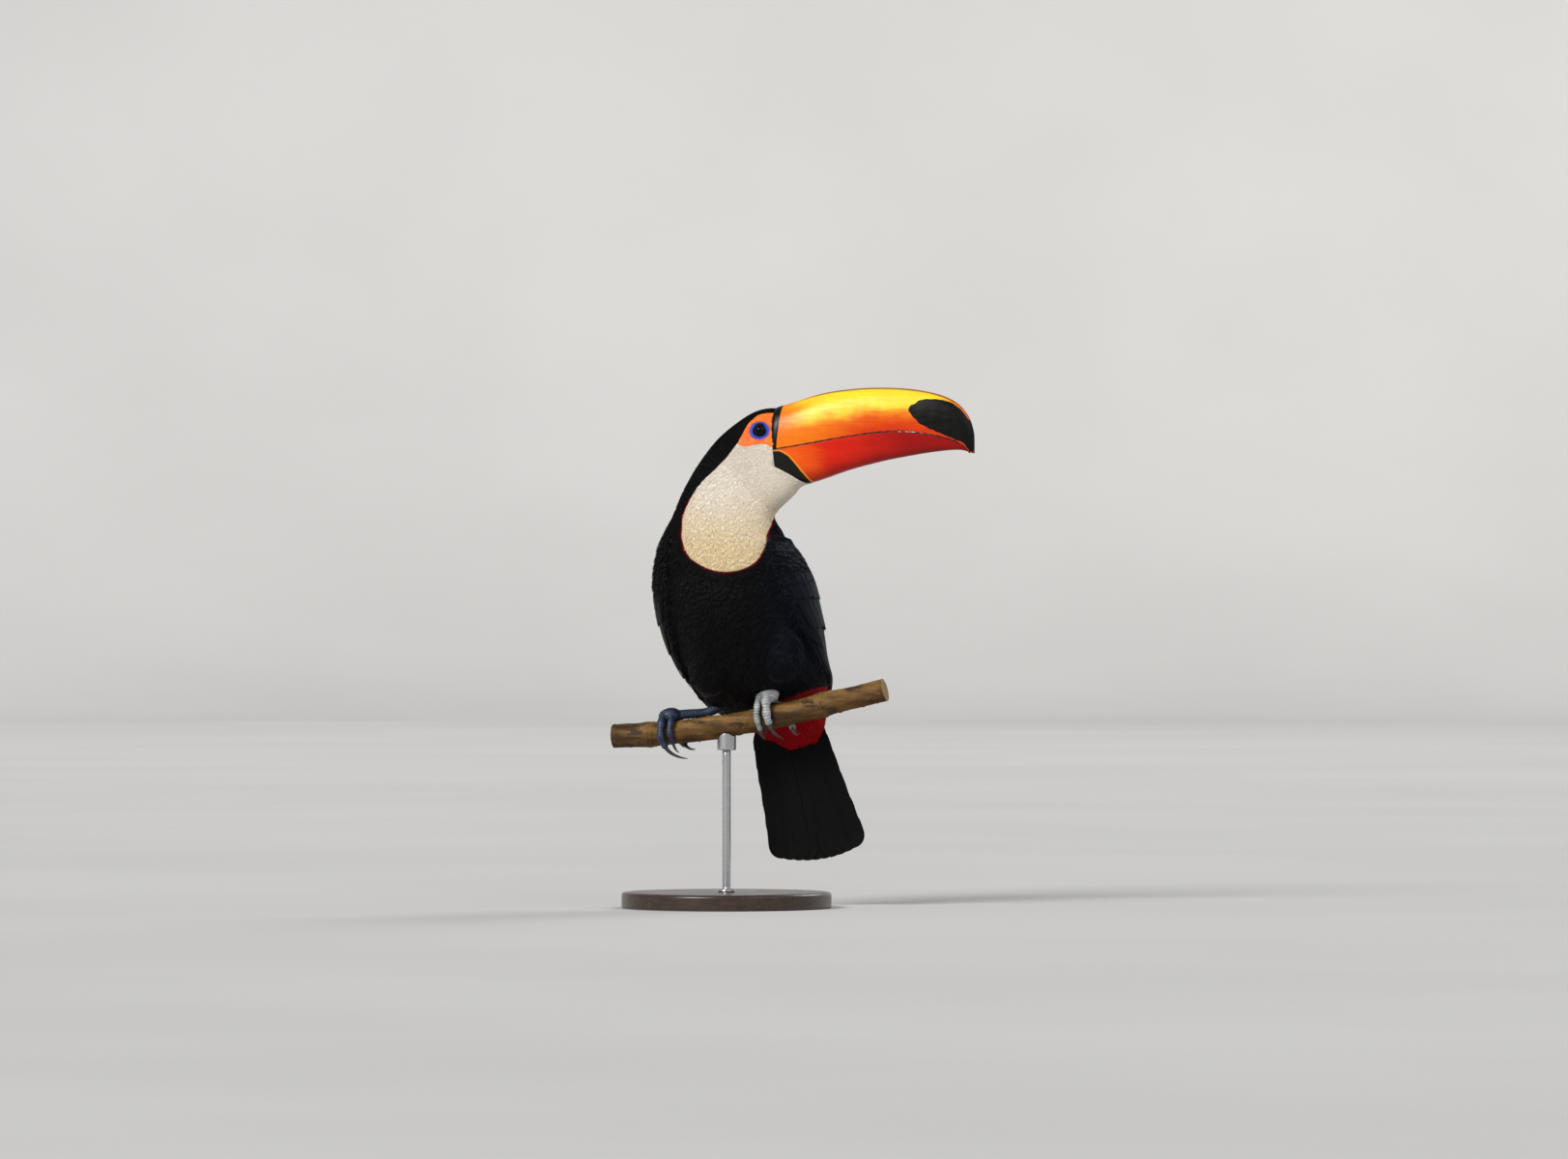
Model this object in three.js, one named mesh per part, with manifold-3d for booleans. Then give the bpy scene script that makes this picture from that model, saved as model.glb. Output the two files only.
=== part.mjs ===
// A toco toucan, life-size, perched across a short length of branch on a plain display stand.
//
// Millimetres, +Z up. The origin is the centre of the stand's underside. The bird's breast faces -Y, its head is
// turned a quarter turn to its left so that the bill points along +X, and the branch runs along X.
// The body is one lofted form, from the chin back over the head, down the neck and trunk to the tail coverts,
// parted into nodes by thin gaps. Feather tips lie at the surface of these solids.

import * as THREE from "three";
import { mergeVertices } from "three/addons/utils/BufferGeometryUtils.js";
import Module from "manifold-3d";

const wasm = await Module();
wasm.setup();

// ---------------------------------------------------------------- driving dimensions

const GAP = 0.3; // clearance between neighbouring solids
const BODY_SIDES = 26; // facets round the body
const LEAN = THREE.MathUtils.degToRad(14.5); // the trunk leans to the bird's right, square to the rising branch

const HEAD_Y = -14; // the head's mid-plane
const TRUNK_PIVOT = [16.2, 0, 266.8]; // the middle of the trunk

const EYE = { x: 41, z: 454.2, spread: 13.2, radius: 7.4 };
const PERCH = { from: -112, to: 156, radius: 11.6 };
const STAND = { baseRadius: 100, baseHeight: 15, chamfer: 3, rodRadius: 4, saddleRadius: 9, saddleHeight: 17 };
const TAIL = { feathers: 10, rootHeight: -92, length: 138, rootHalf: 11, tipHalf: 12.6, vane: 1.1, y: 57 };

// Head and neck sections, from the chin back and down. Each runs from a point on the crown or nape to one on the
// chin or throat, both [x, z], lies at y, and is half as deep as the head is wide there.
const HEAD_AND_NECK = [
  { top: [61, 474.5], low: [86.5, 404.3], y: HEAD_Y, half: 17 }, // chin
  { top: [46.5, 476], low: [77, 399.8], y: HEAD_Y, half: 20.2 }, // forehead
  { top: [30.5, 472], low: [71, 393], y: HEAD_Y, half: 22 }, // crown and eyes
  { top: [13, 461.4], low: [64, 386.4], y: HEAD_Y, half: 23.4 }, // hind crown
  { top: [-4.8, 446.8], low: [56.5, 380], y: -13.5, half: 25.2 }, // nape
  { top: [-21, 427.8], low: [51, 373.5], y: -12.5, half: 28 }, // upper neck
  { top: [-35, 406.6], low: [48.3, 367], y: -11, half: 32 }, // middle neck
  { top: [-45.5, 386], low: [47.8, 361.5], y: -9, half: 38 }, // lower neck
  { top: [-54, 362.5], low: [51.5, 354.5], y: -6.5, half: 46 }, // neck base
];

// Trunk sections square to its leaning axis: height along the axis, sideways shift, half width, and the breast's
// and back's y.
const TRUNK = [
  { h: 70, shift: 0, half: 61, breast: -59, back: 50 },
  { h: 46, shift: 0, half: 66, breast: -64, back: 56 },
  { h: 23, shift: 0, half: 68, breast: -66, back: 60 },
  { h: 0, shift: 0, half: 67.5, breast: -64, back: 63 },
  { h: -24, shift: 0, half: 65, breast: -56, back: 66 },
  { h: -47, shift: 0, half: 60, breast: -40, back: 69 },
  { h: -66, shift: 0, half: 57, breast: -13, back: 71 },
  { h: -83, shift: 5, half: 48, breast: 14, back: 71 },
  { h: -98, shift: 13, half: 34, breast: 26, back: 70 },
  { h: -112, shift: 15, half: 25, breast: 34, back: 67 },
  { h: -121, shift: 15, half: 14, breast: 42, back: 63 },
];
const TRUNK_START = HEAD_AND_NECK.length; // the first trunk section's place in the whole body
const HEAD_END = 3.6; // where the head meets the neck, counted in sections
const NECK_END = TRUNK_START - 0.35; // where the neck meets the trunk
const VENT = { h: -79, lean: THREE.MathUtils.degToRad(21) }; // the slanting line where the tail coverts begin

// The folded wing lies on the body. Each row gives how far down the wing it is, from 0 at the shoulder to 1 at the
// tip, the angles of its front and back edges round the body (0 at the side, 90 at the breast, -90 at the back) and
// its thickness. The head's turn lifts the right shoulder, so each wing starts at its own section number.
const WING_TOP = { left: 8.75, right: 7.9 };
const WING_TIP = 16.9;
const WING_ROWS = [
  { down: 0, front: 22, back: -50, thick: 2.4 },
  { down: 0.045, front: 34, back: -64, thick: 10 },
  { down: 0.11, front: 40, back: -75, thick: 12.5 },
  { down: 0.22, front: 40, back: -83, thick: 12 },
  { down: 0.33, front: 37, back: -86, thick: 11.5 },
  { down: 0.45, front: 31, back: -87, thick: 11 },
  { down: 0.56, front: 22, back: -87, thick: 11 },
  { down: 0.67, front: 10, back: -86, thick: 11.5 },
  { down: 0.78, front: -5, back: -84, thick: 12 },
  { down: 0.89, front: -25, back: -79, thick: 9 },
  { down: 1, front: -50, back: -68, thick: 3.8 },
];

// Side outlines of the bill in the head's mid-plane, [x, z], and its half widths, [x, half].
const CULMEN = [
  [40, 471.5], [49.5, 474.3], [68.5, 480], [97, 488.5], [126, 492.8], [156, 494], [186, 492.4], [212, 487.4],
  [230, 479], [240.5, 467.5], [245.6, 454], [246.5, 443], [244.5, 432],
];
const GONYS = [
  [40, 412], [68.5, 405], [82, 403.2], [90, 405], [99, 407.8], [126, 416.8], [156, 424.5], [186, 430.2],
  [212, 434], [231, 435.2], [241, 433.4], [244.5, 432],
];
const TOMIUM = [
  [30, 433], [48.5, 436.1], [87.6, 442.5], [126, 449], [158, 453.1], [183, 453.6], [207, 450], [226, 445],
  [237, 438.5], [243, 431], [248, 422],
];
const BILL_HALF_WIDTHS = [
  [40, 20.8], [86, 19.8], [126, 17.4], [160, 14.8], [195, 11.8], [222, 9], [238, 6.4], [245, 3.4], [247, 1],
];
// Where the bill meets the feathered face: down the base of the upper bill, then forward under the lower one.
const BILL_BASE = [[57.6, 482], [57.4, 458], [56.8, 436], [56, 421], [68, 414.2], [80.5, 407.4], [92, 402.2]];

// Each toe leaves the foot on top of the perch and bends round it, the front ones over the front and the hind ones
// over the back. Its stations run from the foot outwards: the angle from the perch's top, the shift along the
// perch, and the height off its bark beyond the toe's own radius. Its claw drifts along the perch by `drift`.
// Toes are numbered from the inner hind toe.
const TOES = {
  left: {
    1: { radius: 3, drift: -2, front: false, line: [[14, -4, 4], [40, -6, 1], [75, -8, 0.3], [118, -9, 0.3]] },
    2: { radius: 3.6, drift: 1, front: true, line: [[18, -5, 9], [48, -8, 3], [85, -10, 0.5], [136, -10, 0.5]] },
    3: { radius: 4.8, drift: 7, front: true, line: [[18, 2.5, 11], [48, 1.6, 4], [85, 0.5, 0.6], [118, 1, 0.6]] },
    4: { radius: 4.4, drift: 4, front: false, line: [[14, 4.4, 4], [45, 7, 1], [95, 13, 0.3], [174, 18, 0.6]] },
  },
  right: {
    1: { radius: 3, drift: 2, front: false, line: [[14, 4, 3], [40, 6, 1], [75, 8, 0.3], [118, 9, 0.3]] },
    2: { radius: 3.6, drift: 2, front: true, line: [[16, 4.6, 3.5], [42, 3.6, 1.5], [85, 2, 0.5], [134, 3, 0.5]] },
    3: {
      radius: 4.4,
      drift: 12,
      front: true,
      line: [[16, -4, 4], [42, -5.6, 1.8], [88, -7, 0.5], [116, -6.5, 1], [140, -3.5, 4]],
    },
    4: { radius: 3.8, drift: 2, front: false, line: [[14, -4.6, 3], [45, -6, 1], [95, -4, 0.3], [160, 11, 0.5]] },
  },
};
const FOOT = { left: 44, right: -54 }; // where each foot stands along the perch
const PALM = {
  left: { shift: 1.5, size: [12, 10, 10], forward: 4, height: 10.5 },
  right: { shift: 0, size: [11, 9.5, 7.5], forward: 2, height: 5 },
};

// Leg centre lines from the body down: the feathered thigh with its radii, then the bare scaled tarsus.
const LEGS = {
  left: {
    thigh: [[66, -26, 252], [60, -24, 236], [54, -10, 219]],
    radii: [22, 21, 10],
    tarsus: [[56, 10, 224], [52, 6, 214], [47, 1, 206], [44, -2, 201]],
  },
  right: {
    thigh: [[0, -30, 240], [-8, -25, 224], [-17, -8, 207]],
    radii: [22, 21, 11],
    tarsus: [[-6, 14, 193], [-22, 9, 186], [-38, 4, 184.5], [-54, -1, 183]],
  },
};
const TARSUS_RADIUS = 4.4;

const BLACK = 0x14141a;
const WHITE = 0xefe9dc;
const RED = 0xa81418;
const ORANGE = 0xee6a14;
const DEEP_ORANGE = 0xd8380c;
const EYE_DARK = 0x10182a;
const FOOT_BLUE = 0x6f8299;
const CLAW_DARK = 0x2c2c30;
const BARK = 0x8a6a42;
const WOOD = 0x3a2a20;
const STEEL = 0xb8babd;

// ---------------------------------------------------------------- solids

/** A solid from a closed geometry, turned so that its faces point out. */
function solid(geometry) {
  const plain = geometry.clone();
  plain.deleteAttribute("normal");
  plain.deleteAttribute("uv");
  const merged = mergeVertices(plain, 1e-4);
  const toSolid = () =>
    new wasm.Manifold(
      new wasm.Mesh({
        numProp: 3,
        vertProperties: new Float32Array(merged.attributes.position.array),
        triVerts: new Uint32Array(merged.index.array),
      }),
    );
  const shape = toSolid();
  if (shape.volume() > 0) return shape;
  const { array } = merged.index;
  for (let i = 0; i < array.length; i += 3) {
    [array[i + 1], array[i + 2]] = [array[i + 2], array[i + 1]];
  }
  return toSolid();
}

/** The geometry of the largest body of a solid; crumbs left by a cut are dropped. */
function geometryOf(shape) {
  const [largest] = shape.decompose().sort((a, b) => b.volume() - a.volume());
  const mesh = largest.simplify(0.1).getMesh();
  const positions = new Float32Array(mesh.numVert * 3);
  for (let i = 0; i < mesh.numVert; i += 1) {
    positions.set(mesh.vertProperties.subarray(i * mesh.numProp, i * mesh.numProp + 3), i * 3);
  }
  const geometry = new THREE.BufferGeometry();
  geometry.setAttribute("position", new THREE.BufferAttribute(positions, 3));
  geometry.setIndex(new THREE.BufferAttribute(mesh.triVerts, 1));
  geometry.computeVertexNormals();
  return geometry;
}

/** A closed geometry through rings of points, with a flat fan over each end. */
function loft(rings) {
  const sides = rings[0].length;
  const points = rings.flat();
  const middle = (ring) => ring.reduce((sum, p) => sum.add(p), new THREE.Vector3()).divideScalar(sides);
  const first = points.push(middle(rings[0])) - 1;
  const last = points.push(middle(rings.at(-1))) - 1;
  const end = (rings.length - 1) * sides;
  const index = [];
  for (let i = 0; i < sides; i += 1) {
    const j = (i + 1) % sides;
    for (let r = 0; r < end; r += sides) {
      index.push(r + i, r + sides + j, r + j, r + i, r + sides + i, r + sides + j);
    }
    index.push(first, i, j, last, end + j, end + i);
  }
  const geometry = new THREE.BufferGeometry().setFromPoints(points);
  geometry.setIndex(index);
  return geometry;
}

/** A smooth curve through points given as [x, z] in a plane of constant y, or as [x, y, z]. */
function curve(points, y = 0) {
  const placed = points.map((p) => (p.length === 3 ? new THREE.Vector3(...p) : new THREE.Vector3(p[0], y, p[1])));
  return new THREE.CatmullRomCurve3(placed, false, "catmullrom", 0.5);
}

/** A function giving an outline's second coordinate at any x along it, smooth through its points. */
function outlineAt(points) {
  const samples = curve(points).getPoints(240);
  const farthest = samples.reduce((far, p) => (p.x > far.x ? p : far));
  return (x) => {
    const k = samples.findIndex((p) => p.x >= x);
    if (k < 0) return farthest.z;
    if (k === 0) return samples[0].z;
    const [a, b] = [samples[k - 1], samples[k]];
    return THREE.MathUtils.lerp(a.z, b.z, (x - a.x) / (b.x - a.x));
  };
}

/** A round tube along a curve, its radius given along it from 0 to 1. */
function tube(path, radiusAt, steps, sides) {
  const frames = path.computeFrenetFrames(steps, false);
  const rings = [];
  for (let s = 0; s <= steps; s += 1) {
    const centre = path.getPointAt(s / steps);
    const radius = radiusAt(s / steps);
    rings.push(
      Array.from({ length: sides }, (_, i) => {
        const angle = (2 * Math.PI * i) / sides;
        return centre
          .clone()
          .addScaledVector(frames.normals[s], radius * Math.cos(angle))
          .addScaledVector(frames.binormals[s], radius * Math.sin(angle));
      }),
    );
  }
  return solid(loft(rings));
}

/** The part of the head inside an [x, z] outline of its mid-plane, cut square through. */
function headSlab(outline) {
  const thickness = 140;
  const shape = new THREE.Shape(outline.map(([x, z]) => new THREE.Vector2(x, z)));
  const geometry = new THREE.ExtrudeGeometry(shape, { depth: thickness, bevelEnabled: false });
  geometry.rotateX(Math.PI / 2);
  geometry.translate(0, HEAD_Y + thickness / 2, 0);
  return solid(geometry);
}

/** A block between two corners. */
function block(low, high) {
  const [x, y, z] = high.map((v, i) => v - low[i]);
  const geometry = new THREE.BoxGeometry(x, y, z);
  geometry.translate(low[0] + x / 2, low[1] + y / 2, low[2] + z / 2);
  return solid(geometry);
}

/** A shape and the space close round it. */
function withRoom(shape, gap = GAP) {
  const shifts = [[gap, 0, 0], [-gap, 0, 0], [0, gap, 0], [0, -gap, 0], [0, 0, gap], [0, 0, -gap]];
  return shifts.reduce((whole, shift) => whole.add(shape.translate(shift)), shape);
}

// ---------------------------------------------------------------- the body's one surface

const trunkAxis = new THREE.Vector3(-Math.sin(LEAN), 0, Math.cos(LEAN));
const trunkAcross = new THREE.Vector3(Math.cos(LEAN), 0, Math.sin(LEAN));

/** A point of the trunk's own leaning frame: across, back, and height up the axis. */
function onTrunk(across, back, height) {
  return new THREE.Vector3(...TRUNK_PIVOT)
    .addScaledVector(trunkAcross, across)
    .addScaledVector(trunkAxis, height)
    .add(new THREE.Vector3(0, back, 0));
}

const sections = [
  ...HEAD_AND_NECK.map(({ top, low, y, half }) => ({
    centre: new THREE.Vector3((top[0] + low[0]) / 2, y, (top[1] + low[1]) / 2),
    across: new THREE.Vector3((low[0] - top[0]) / 2, 0, (low[1] - top[1]) / 2),
    deep: new THREE.Vector3(0, half, 0),
  })),
  ...TRUNK.map(({ h, shift, half, breast, back }) => ({
    centre: onTrunk(shift, (breast + back) / 2, h),
    across: trunkAcross.clone().multiplyScalar(half),
    deep: new THREE.Vector3(0, (back - breast) / 2, 0),
  })),
];
const LAST = sections.length - 1;
const through = (key) => new THREE.CatmullRomCurve3(sections.map((s) => s[key]), false, "catmullrom", 0.5);
const bodyCurves = { centre: through("centre"), across: through("across"), deep: through("deep") };

/** A point on the body: at a section number, at an angle round it in radians, grown outwards by some millimetres. */
function onBody(at, angle, grow = 0) {
  const t = THREE.MathUtils.clamp(at / LAST, 0, 1);
  const across = bodyCurves.across.getPoint(t);
  const deep = bodyCurves.deep.getPoint(t);
  across.setLength(across.length() + grow);
  deep.setLength(deep.length() + grow);
  return bodyCurves.centre
    .getPoint(t)
    .addScaledVector(across, Math.cos(angle))
    .addScaledVector(deep, -Math.sin(angle));
}

/** The body between two section numbers, ringed at the same places whatever its ends. */
function body(from, to, { grow = 0, step = 0.5 } = {}) {
  const fine = Array.from({ length: Math.floor(TRUNK_START / step) + 1 }, (_, i) => i * step);
  const coarse = TRUNK.map((_, i) => TRUNK_START + i);
  const inside = [...fine, NECK_END, ...coarse].filter((at) => at > from + 0.04 && at < to - 0.04);
  const places = [from, ...new Set(inside.sort((a, b) => a - b)), to];
  const angles = Array.from({ length: BODY_SIDES }, (_, i) => (2 * Math.PI * i) / BODY_SIDES);
  return solid(loft(places.map((at) => angles.map((angle) => onBody(at, angle, grow)))));
}

/** Everything behind the vent, or a little more or less of it. */
function behindVent(shift = 0) {
  const size = 500;
  const geometry = new THREE.BoxGeometry(size, size, size);
  geometry.translate(0, 0, -size / 2);
  geometry.rotateY(-VENT.lean);
  const place = onTrunk(0, 0, VENT.h + shift);
  geometry.translate(place.x, place.y, place.z);
  return solid(geometry);
}

// ---------------------------------------------------------------- wings and tail

/** One folded wing, its inner face sunk into the body so that the body can be cut from it. */
function wingBlank(side) {
  const rows = 18;
  const columns = 8;
  const sunk = -3;
  const edge = 1.7;
  const edges = curve(WING_ROWS.map(({ front, back, thick }) => [front, back, thick]));
  const places = curve(WING_ROWS.map(({ down }) => [down, 0, 0]));
  const outer = [];
  const inner = [];
  for (let r = 0; r <= rows; r += 1) {
    const row = edges.getPoint(r / rows);
    const at = THREE.MathUtils.lerp(WING_TOP[side], WING_TIP, places.getPoint(r / rows).x);
    for (let c = 0; c <= columns; c += 1) {
      const share = c / columns;
      const degrees = THREE.MathUtils.lerp(row.x, row.y, share);
      const angle = THREE.MathUtils.degToRad(side === "left" ? degrees : 180 - degrees);
      // Fullest near the leading edge, where the folded arm lies, and thin towards the back.
      const fullness = Math.sin(Math.PI * share ** 0.72) ** 0.6;
      outer.push(onBody(at, angle, GAP + edge + (row.z - edge) * fullness));
      inner.push(onBody(at, angle, sunk));
    }
  }
  return solid(shell(outer, inner, columns + 1));
}

/** A closed geometry between two grids of points of the same width. */
function shell(outer, inner, width) {
  const below = outer.length;
  const rows = outer.length / width - 1;
  const index = [];
  const quad = (a, b, c, d) => index.push(a, b, c, a, c, d);
  for (let r = 0; r < rows; r += 1) {
    for (let c = 0; c + 1 < width; c += 1) {
      const [a, b] = [r * width + c, r * width + c + 1];
      quad(a, a + width, b + width, b);
      quad(below + a, below + b, below + b + width, below + a + width);
    }
    const [left, right] = [r * width, (r + 1) * width - 1];
    quad(left, below + left, below + left + width, left + width);
    quad(right, right + width, below + right + width, below + right);
  }
  for (let c = 0; c + 1 < width; c += 1) {
    const bottom = rows * width + c;
    quad(c, c + 1, below + c + 1, below + c);
    quad(bottom, below + bottom, below + bottom + 1, bottom + 1);
  }
  const geometry = new THREE.BufferGeometry().setFromPoints([...outer, ...inner]);
  geometry.setIndex(index);
  return geometry;
}

/** The tail's feathers, fanned a little and overlapping like tiles, the outermost in front. */
function tailFeathers(grow = 0) {
  const { feathers, rootHeight, length, rootHalf, tipHalf, vane, y } = TAIL;
  const fan = 0.1;
  const roll = 0.1;
  const pitch = 0.05;
  const rootSpread = 23;
  const parts = Array.from({ length: feathers }, (_, i) => {
    const place = (2 * i) / (feathers - 1) - 1; // -1 to 1 across the tail
    const reach = length - 5.5 * place ** 2 + 3.5 * place;
    const outline = new THREE.Shape();
    const [atRoot, atTip, end] = [rootHalf + grow, tipHalf + grow, -reach - 0.5 - grow];
    outline.moveTo(-atRoot, grow);
    outline.lineTo(-atTip, tipHalf - reach);
    outline.bezierCurveTo(-atTip, end, atTip, end, atTip, tipHalf - reach);
    outline.lineTo(atRoot, grow);
    const depth = vane + 2 * grow;
    const geometry = new THREE.ExtrudeGeometry(outline, { depth, bevelEnabled: false, curveSegments: 4 });
    geometry.translate(0, 0, -depth / 2);
    geometry.rotateX(Math.PI / 2);
    geometry.rotateZ(-place * roll);
    geometry.rotateX(pitch);
    geometry.rotateY(-LEAN - place * fan);
    const root = onTrunk(4 + place * rootSpread, y - 3.6 * Math.abs(place), rootHeight);
    geometry.translate(root.x, root.y, root.z);
    return solid(geometry);
  });
  return parts.reduce((whole, feather) => whole.add(feather));
}

// ---------------------------------------------------------------- bill and eyes

/** The whole bill: high, arched and flat-sided, its widest line just above the seam between its halves. */
function wholeBill() {
  const [top, bottom, seam, halfWidth] = [CULMEN, GONYS, TOMIUM, BILL_HALF_WIDTHS].map(outlineAt);
  const steps = 18;
  const sides = 18;
  const [start, end] = [40, 246.4];
  const rings = [];
  for (let s = 0; s <= steps; s += 1) {
    const x = start + (end - start) * Math.sin((Math.PI / 2) * (s / steps)) ** 0.95;
    const [high, low] = [top(x), bottom(x)];
    const widest = THREE.MathUtils.clamp(seam(x) + 0.15 * (high - seam(x)), low + 0.8, high - 0.8);
    rings.push(
      Array.from({ length: sides }, (_, i) => {
        const [c, s2] = [Math.cos((2 * Math.PI * i) / sides), Math.sin((2 * Math.PI * i) / sides)];
        const sideways = Math.sign(c) * Math.abs(c) ** 0.8;
        const reach = s2 > 0 ? high - widest : widest - low;
        return new THREE.Vector3(x, HEAD_Y + halfWidth(x) * sideways, widest + reach * s2);
      }),
    );
  }
  return solid(loft(rings));
}

/** An outline's points moved by a distance along x and z. */
function moved(outline, dx, dz) {
  return outline.map(([x, z]) => [x + dx, z + dz]);
}

/** Points along the smooth seam between the bill's halves, raised or lowered. */
function seamPoints(dz) {
  return curve(TOMIUM).getPoints(36).map((p) => [p.x, p.z + dz]);
}

function eyeball(side, grow = 0) {
  const sign = side === "left" ? 1 : -1;
  const geometry = new THREE.SphereGeometry(EYE.radius + grow, 12, 8);
  geometry.translate(EYE.x, HEAD_Y + sign * EYE.spread, EYE.z);
  return solid(geometry);
}

// ---------------------------------------------------------------- perch, feet and legs

const perchPath = curve([
  [PERCH.from, 162.9], [-68.6, 165.4], [-21, 170.6], [17.1, 176.6], [55.2, 184.3], [93.3, 193.2], [128, 201.4],
  [PERCH.to, 208],
]);

/** The perch's radius along its length: a slight taper, a swelling at each leaf scar and a fine unevenness. */
function perchRadius(t) {
  const scar = (place, size) => size * Math.exp(-(((t - place) / 0.035) ** 2));
  return PERCH.radius - 0.5 * t + scar(0.13, 0.7) + scar(0.76, 1.1) + 0.25 * Math.sin(19 * t) * Math.sin(7 * t + 1);
}

/** How far along the perch, from 0 to 1, it passes a given x. */
function alongPerch(x) {
  let t = (x - PERCH.from) / (PERCH.to - PERCH.from);
  for (let pass = 0; pass < 5; pass += 1) {
    t += (x - perchPath.getPointAt(t).x) / (PERCH.to - PERCH.from);
  }
  return t;
}

/** A place round the perch: shifted along it from a foot, at an angle from its top, and off its bark by a height. */
function onPerch(foot, shift, angle, height) {
  const t = alongPerch(foot) + shift / perchPath.getLength();
  const along = perchPath.getTangentAt(t);
  const front = new THREE.Vector3(0, -1, 0);
  const up = new THREE.Vector3().crossVectors(front, along).normalize();
  const out = perchRadius(t) + height;
  return perchPath
    .getPointAt(t)
    .addScaledVector(up, out * Math.cos(angle))
    .addScaledVector(front, out * Math.sin(angle));
}

/** The centre lines of a toe, from the top of the perch to its claw, and of the claw. */
function toeLines(foot, { front, line, radius, drift }) {
  const turn = front ? 1 : -1;
  const stations = line.map(([degrees, shift, height]) =>
    onPerch(foot, shift, turn * THREE.MathUtils.degToRad(degrees), height + 0.85 * radius),
  );
  const path = new THREE.CatmullRomCurve3(stations, false, "catmullrom", 0.6);
  const tip = path.getPoint(1);
  const ahead = path.getTangent(1);
  const endShift = line.at(-1)[1];
  const axis = onPerch(foot, endShift, 0, 0).add(onPerch(foot, endShift, Math.PI, 0)).multiplyScalar(0.5);
  const inwards = axis.sub(tip);
  inwards.addScaledVector(ahead, -inwards.dot(ahead)).normalize();
  const length = 3.9 * radius;
  const bend = 1.2;
  const claw = [0, 0.25, 0.5, 0.75, 1].map((share) =>
    tip
      .clone()
      .addScaledVector(ahead, 2 * GAP + (length * Math.sin(bend * share)) / bend)
      .addScaledVector(inwards, (0.6 * length * (1 - Math.cos(bend * share))) / bend)
      .add(new THREE.Vector3(drift * share ** 1.6, 0, 0)),
  );
  return { path, claw: new THREE.CatmullRomCurve3(claw) };
}

/** A toe: padded under each joint, tapering a little, rounded at its end. */
function toeSolid(path, radius, grow = 0) {
  const radiusAt = (t) => {
    const pads = 0.1 * Math.cos(2 * Math.PI * 3 * t);
    const end = Math.sqrt(THREE.MathUtils.clamp((1.03 - t) * 9, 0.25, 1));
    return radius * (0.95 - 0.22 * t + pads) * end + grow;
  };
  return tube(path, radiusAt, 9, 6);
}

function clawSolid(path, radius) {
  return tube(path, (t) => radius * 0.52 * (1 - t) ** 0.75 + 0.25, 4, 6);
}

/** The joint above the perch that the toes spring from. */
function palm(side, grow = 0) {
  const { shift, size, forward, height } = PALM[side];
  const geometry = new THREE.SphereGeometry(1, 12, 7);
  geometry.scale(...size.map((radius) => radius + grow));
  geometry.rotateY(-0.2);
  const place = onPerch(FOOT[side], shift, 0, height);
  geometry.translate(place.x, place.y - forward, place.z);
  return solid(geometry);
}

/** The feathered thigh, round at both ends. */
function thighSolid({ thigh, radii }) {
  const radiusAlong = curve(radii.map((radius, i) => [i / (radii.length - 1), radius]));
  const rounding = (t) => Math.sqrt(Math.max(0.12, 1 - (2 * t - 1) ** 8));
  return tube(curve(thigh), (t) => radiusAlong.getPoint(t).z * rounding(t), 7, 12);
}

// ---------------------------------------------------------------- assembly

const part = new THREE.Group();

/** Adds one named node. */
function add(name, shape, color, { roughness = 0.75, metalness = 0 } = {}) {
  const mesh = new THREE.Mesh(geometryOf(shape), new THREE.MeshStandardMaterial({ color, roughness, metalness }));
  mesh.name = name;
  part.add(mesh);
}

const perchSolid = tube(perchPath, perchRadius, 20, 12);
const perchRoom = tube(perchPath, (t) => perchRadius(t) + GAP, 20, 12);
const bodyRoom = body(5, LAST, { grow: 1.2 * GAP });
const tail = tailFeathers();
const tailRoom = tailFeathers(GAP);

// The face stops at the bill's base and the bill begins there.
const face = headSlab([[-150, 560], [57.6, 560], ...moved(BILL_BASE, -GAP / 2, -GAP / 3), [94, 300], [-150, 300]]);
const ahead = headSlab([[320, 560], [57.6, 560], ...moved(BILL_BASE, GAP / 2, GAP / 3), [94, 380], [320, 380]]);
const eyeRoom = eyeball("left", GAP).add(eyeball("right", GAP));
add("head", body(0, HEAD_END, { step: 0.4 }).intersect(face).subtract(eyeRoom), ORANGE);
add("neck", body(HEAD_END + 0.02, NECK_END - 0.01), WHITE);

const bill = wholeBill().intersect(ahead);
const aboveSeam = headSlab([...seamPoints(GAP / 2), [320, 422], [320, 560], [30, 560]]);
const belowSeam = headSlab([...seamPoints(-GAP / 2), [320, 421], [320, 380], [30, 380]]);
add("bill_upper", bill.intersect(aboveSeam), ORANGE, { roughness: 0.3 });
add("bill_lower", bill.intersect(belowSeam), DEEP_ORANGE, { roughness: 0.3 });

// Each foot: a palm on top of the perch with the shank rising from it, and four toes with their claws.
const toeRooms = { left: perchRoom, right: perchRoom };
for (const side of ["left", "right"]) {
  const foot = FOOT[side];
  const palmRoom = palm(side, GAP).add(perchRoom);
  for (const [number, toe] of Object.entries(TOES[side])) {
    const { path, claw } = toeLines(foot, toe);
    add(`toe_${number}_${side}`, toeSolid(path, toe.radius).subtract(palmRoom), FOOT_BLUE, { roughness: 0.6 });
    add(`claw_${number}_${side}`, clawSolid(claw, toe.radius).subtract(perchRoom), CLAW_DARK, { roughness: 0.4 });
    toeRooms[side] = toeRooms[side].add(toeSolid(path, toe.radius, GAP).subtract(palm(side)));
  }
}

const feetRoom = toeRooms.left.add(toeRooms.right);
const palmRooms = palm("left", GAP).add(palm("right", GAP));

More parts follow.
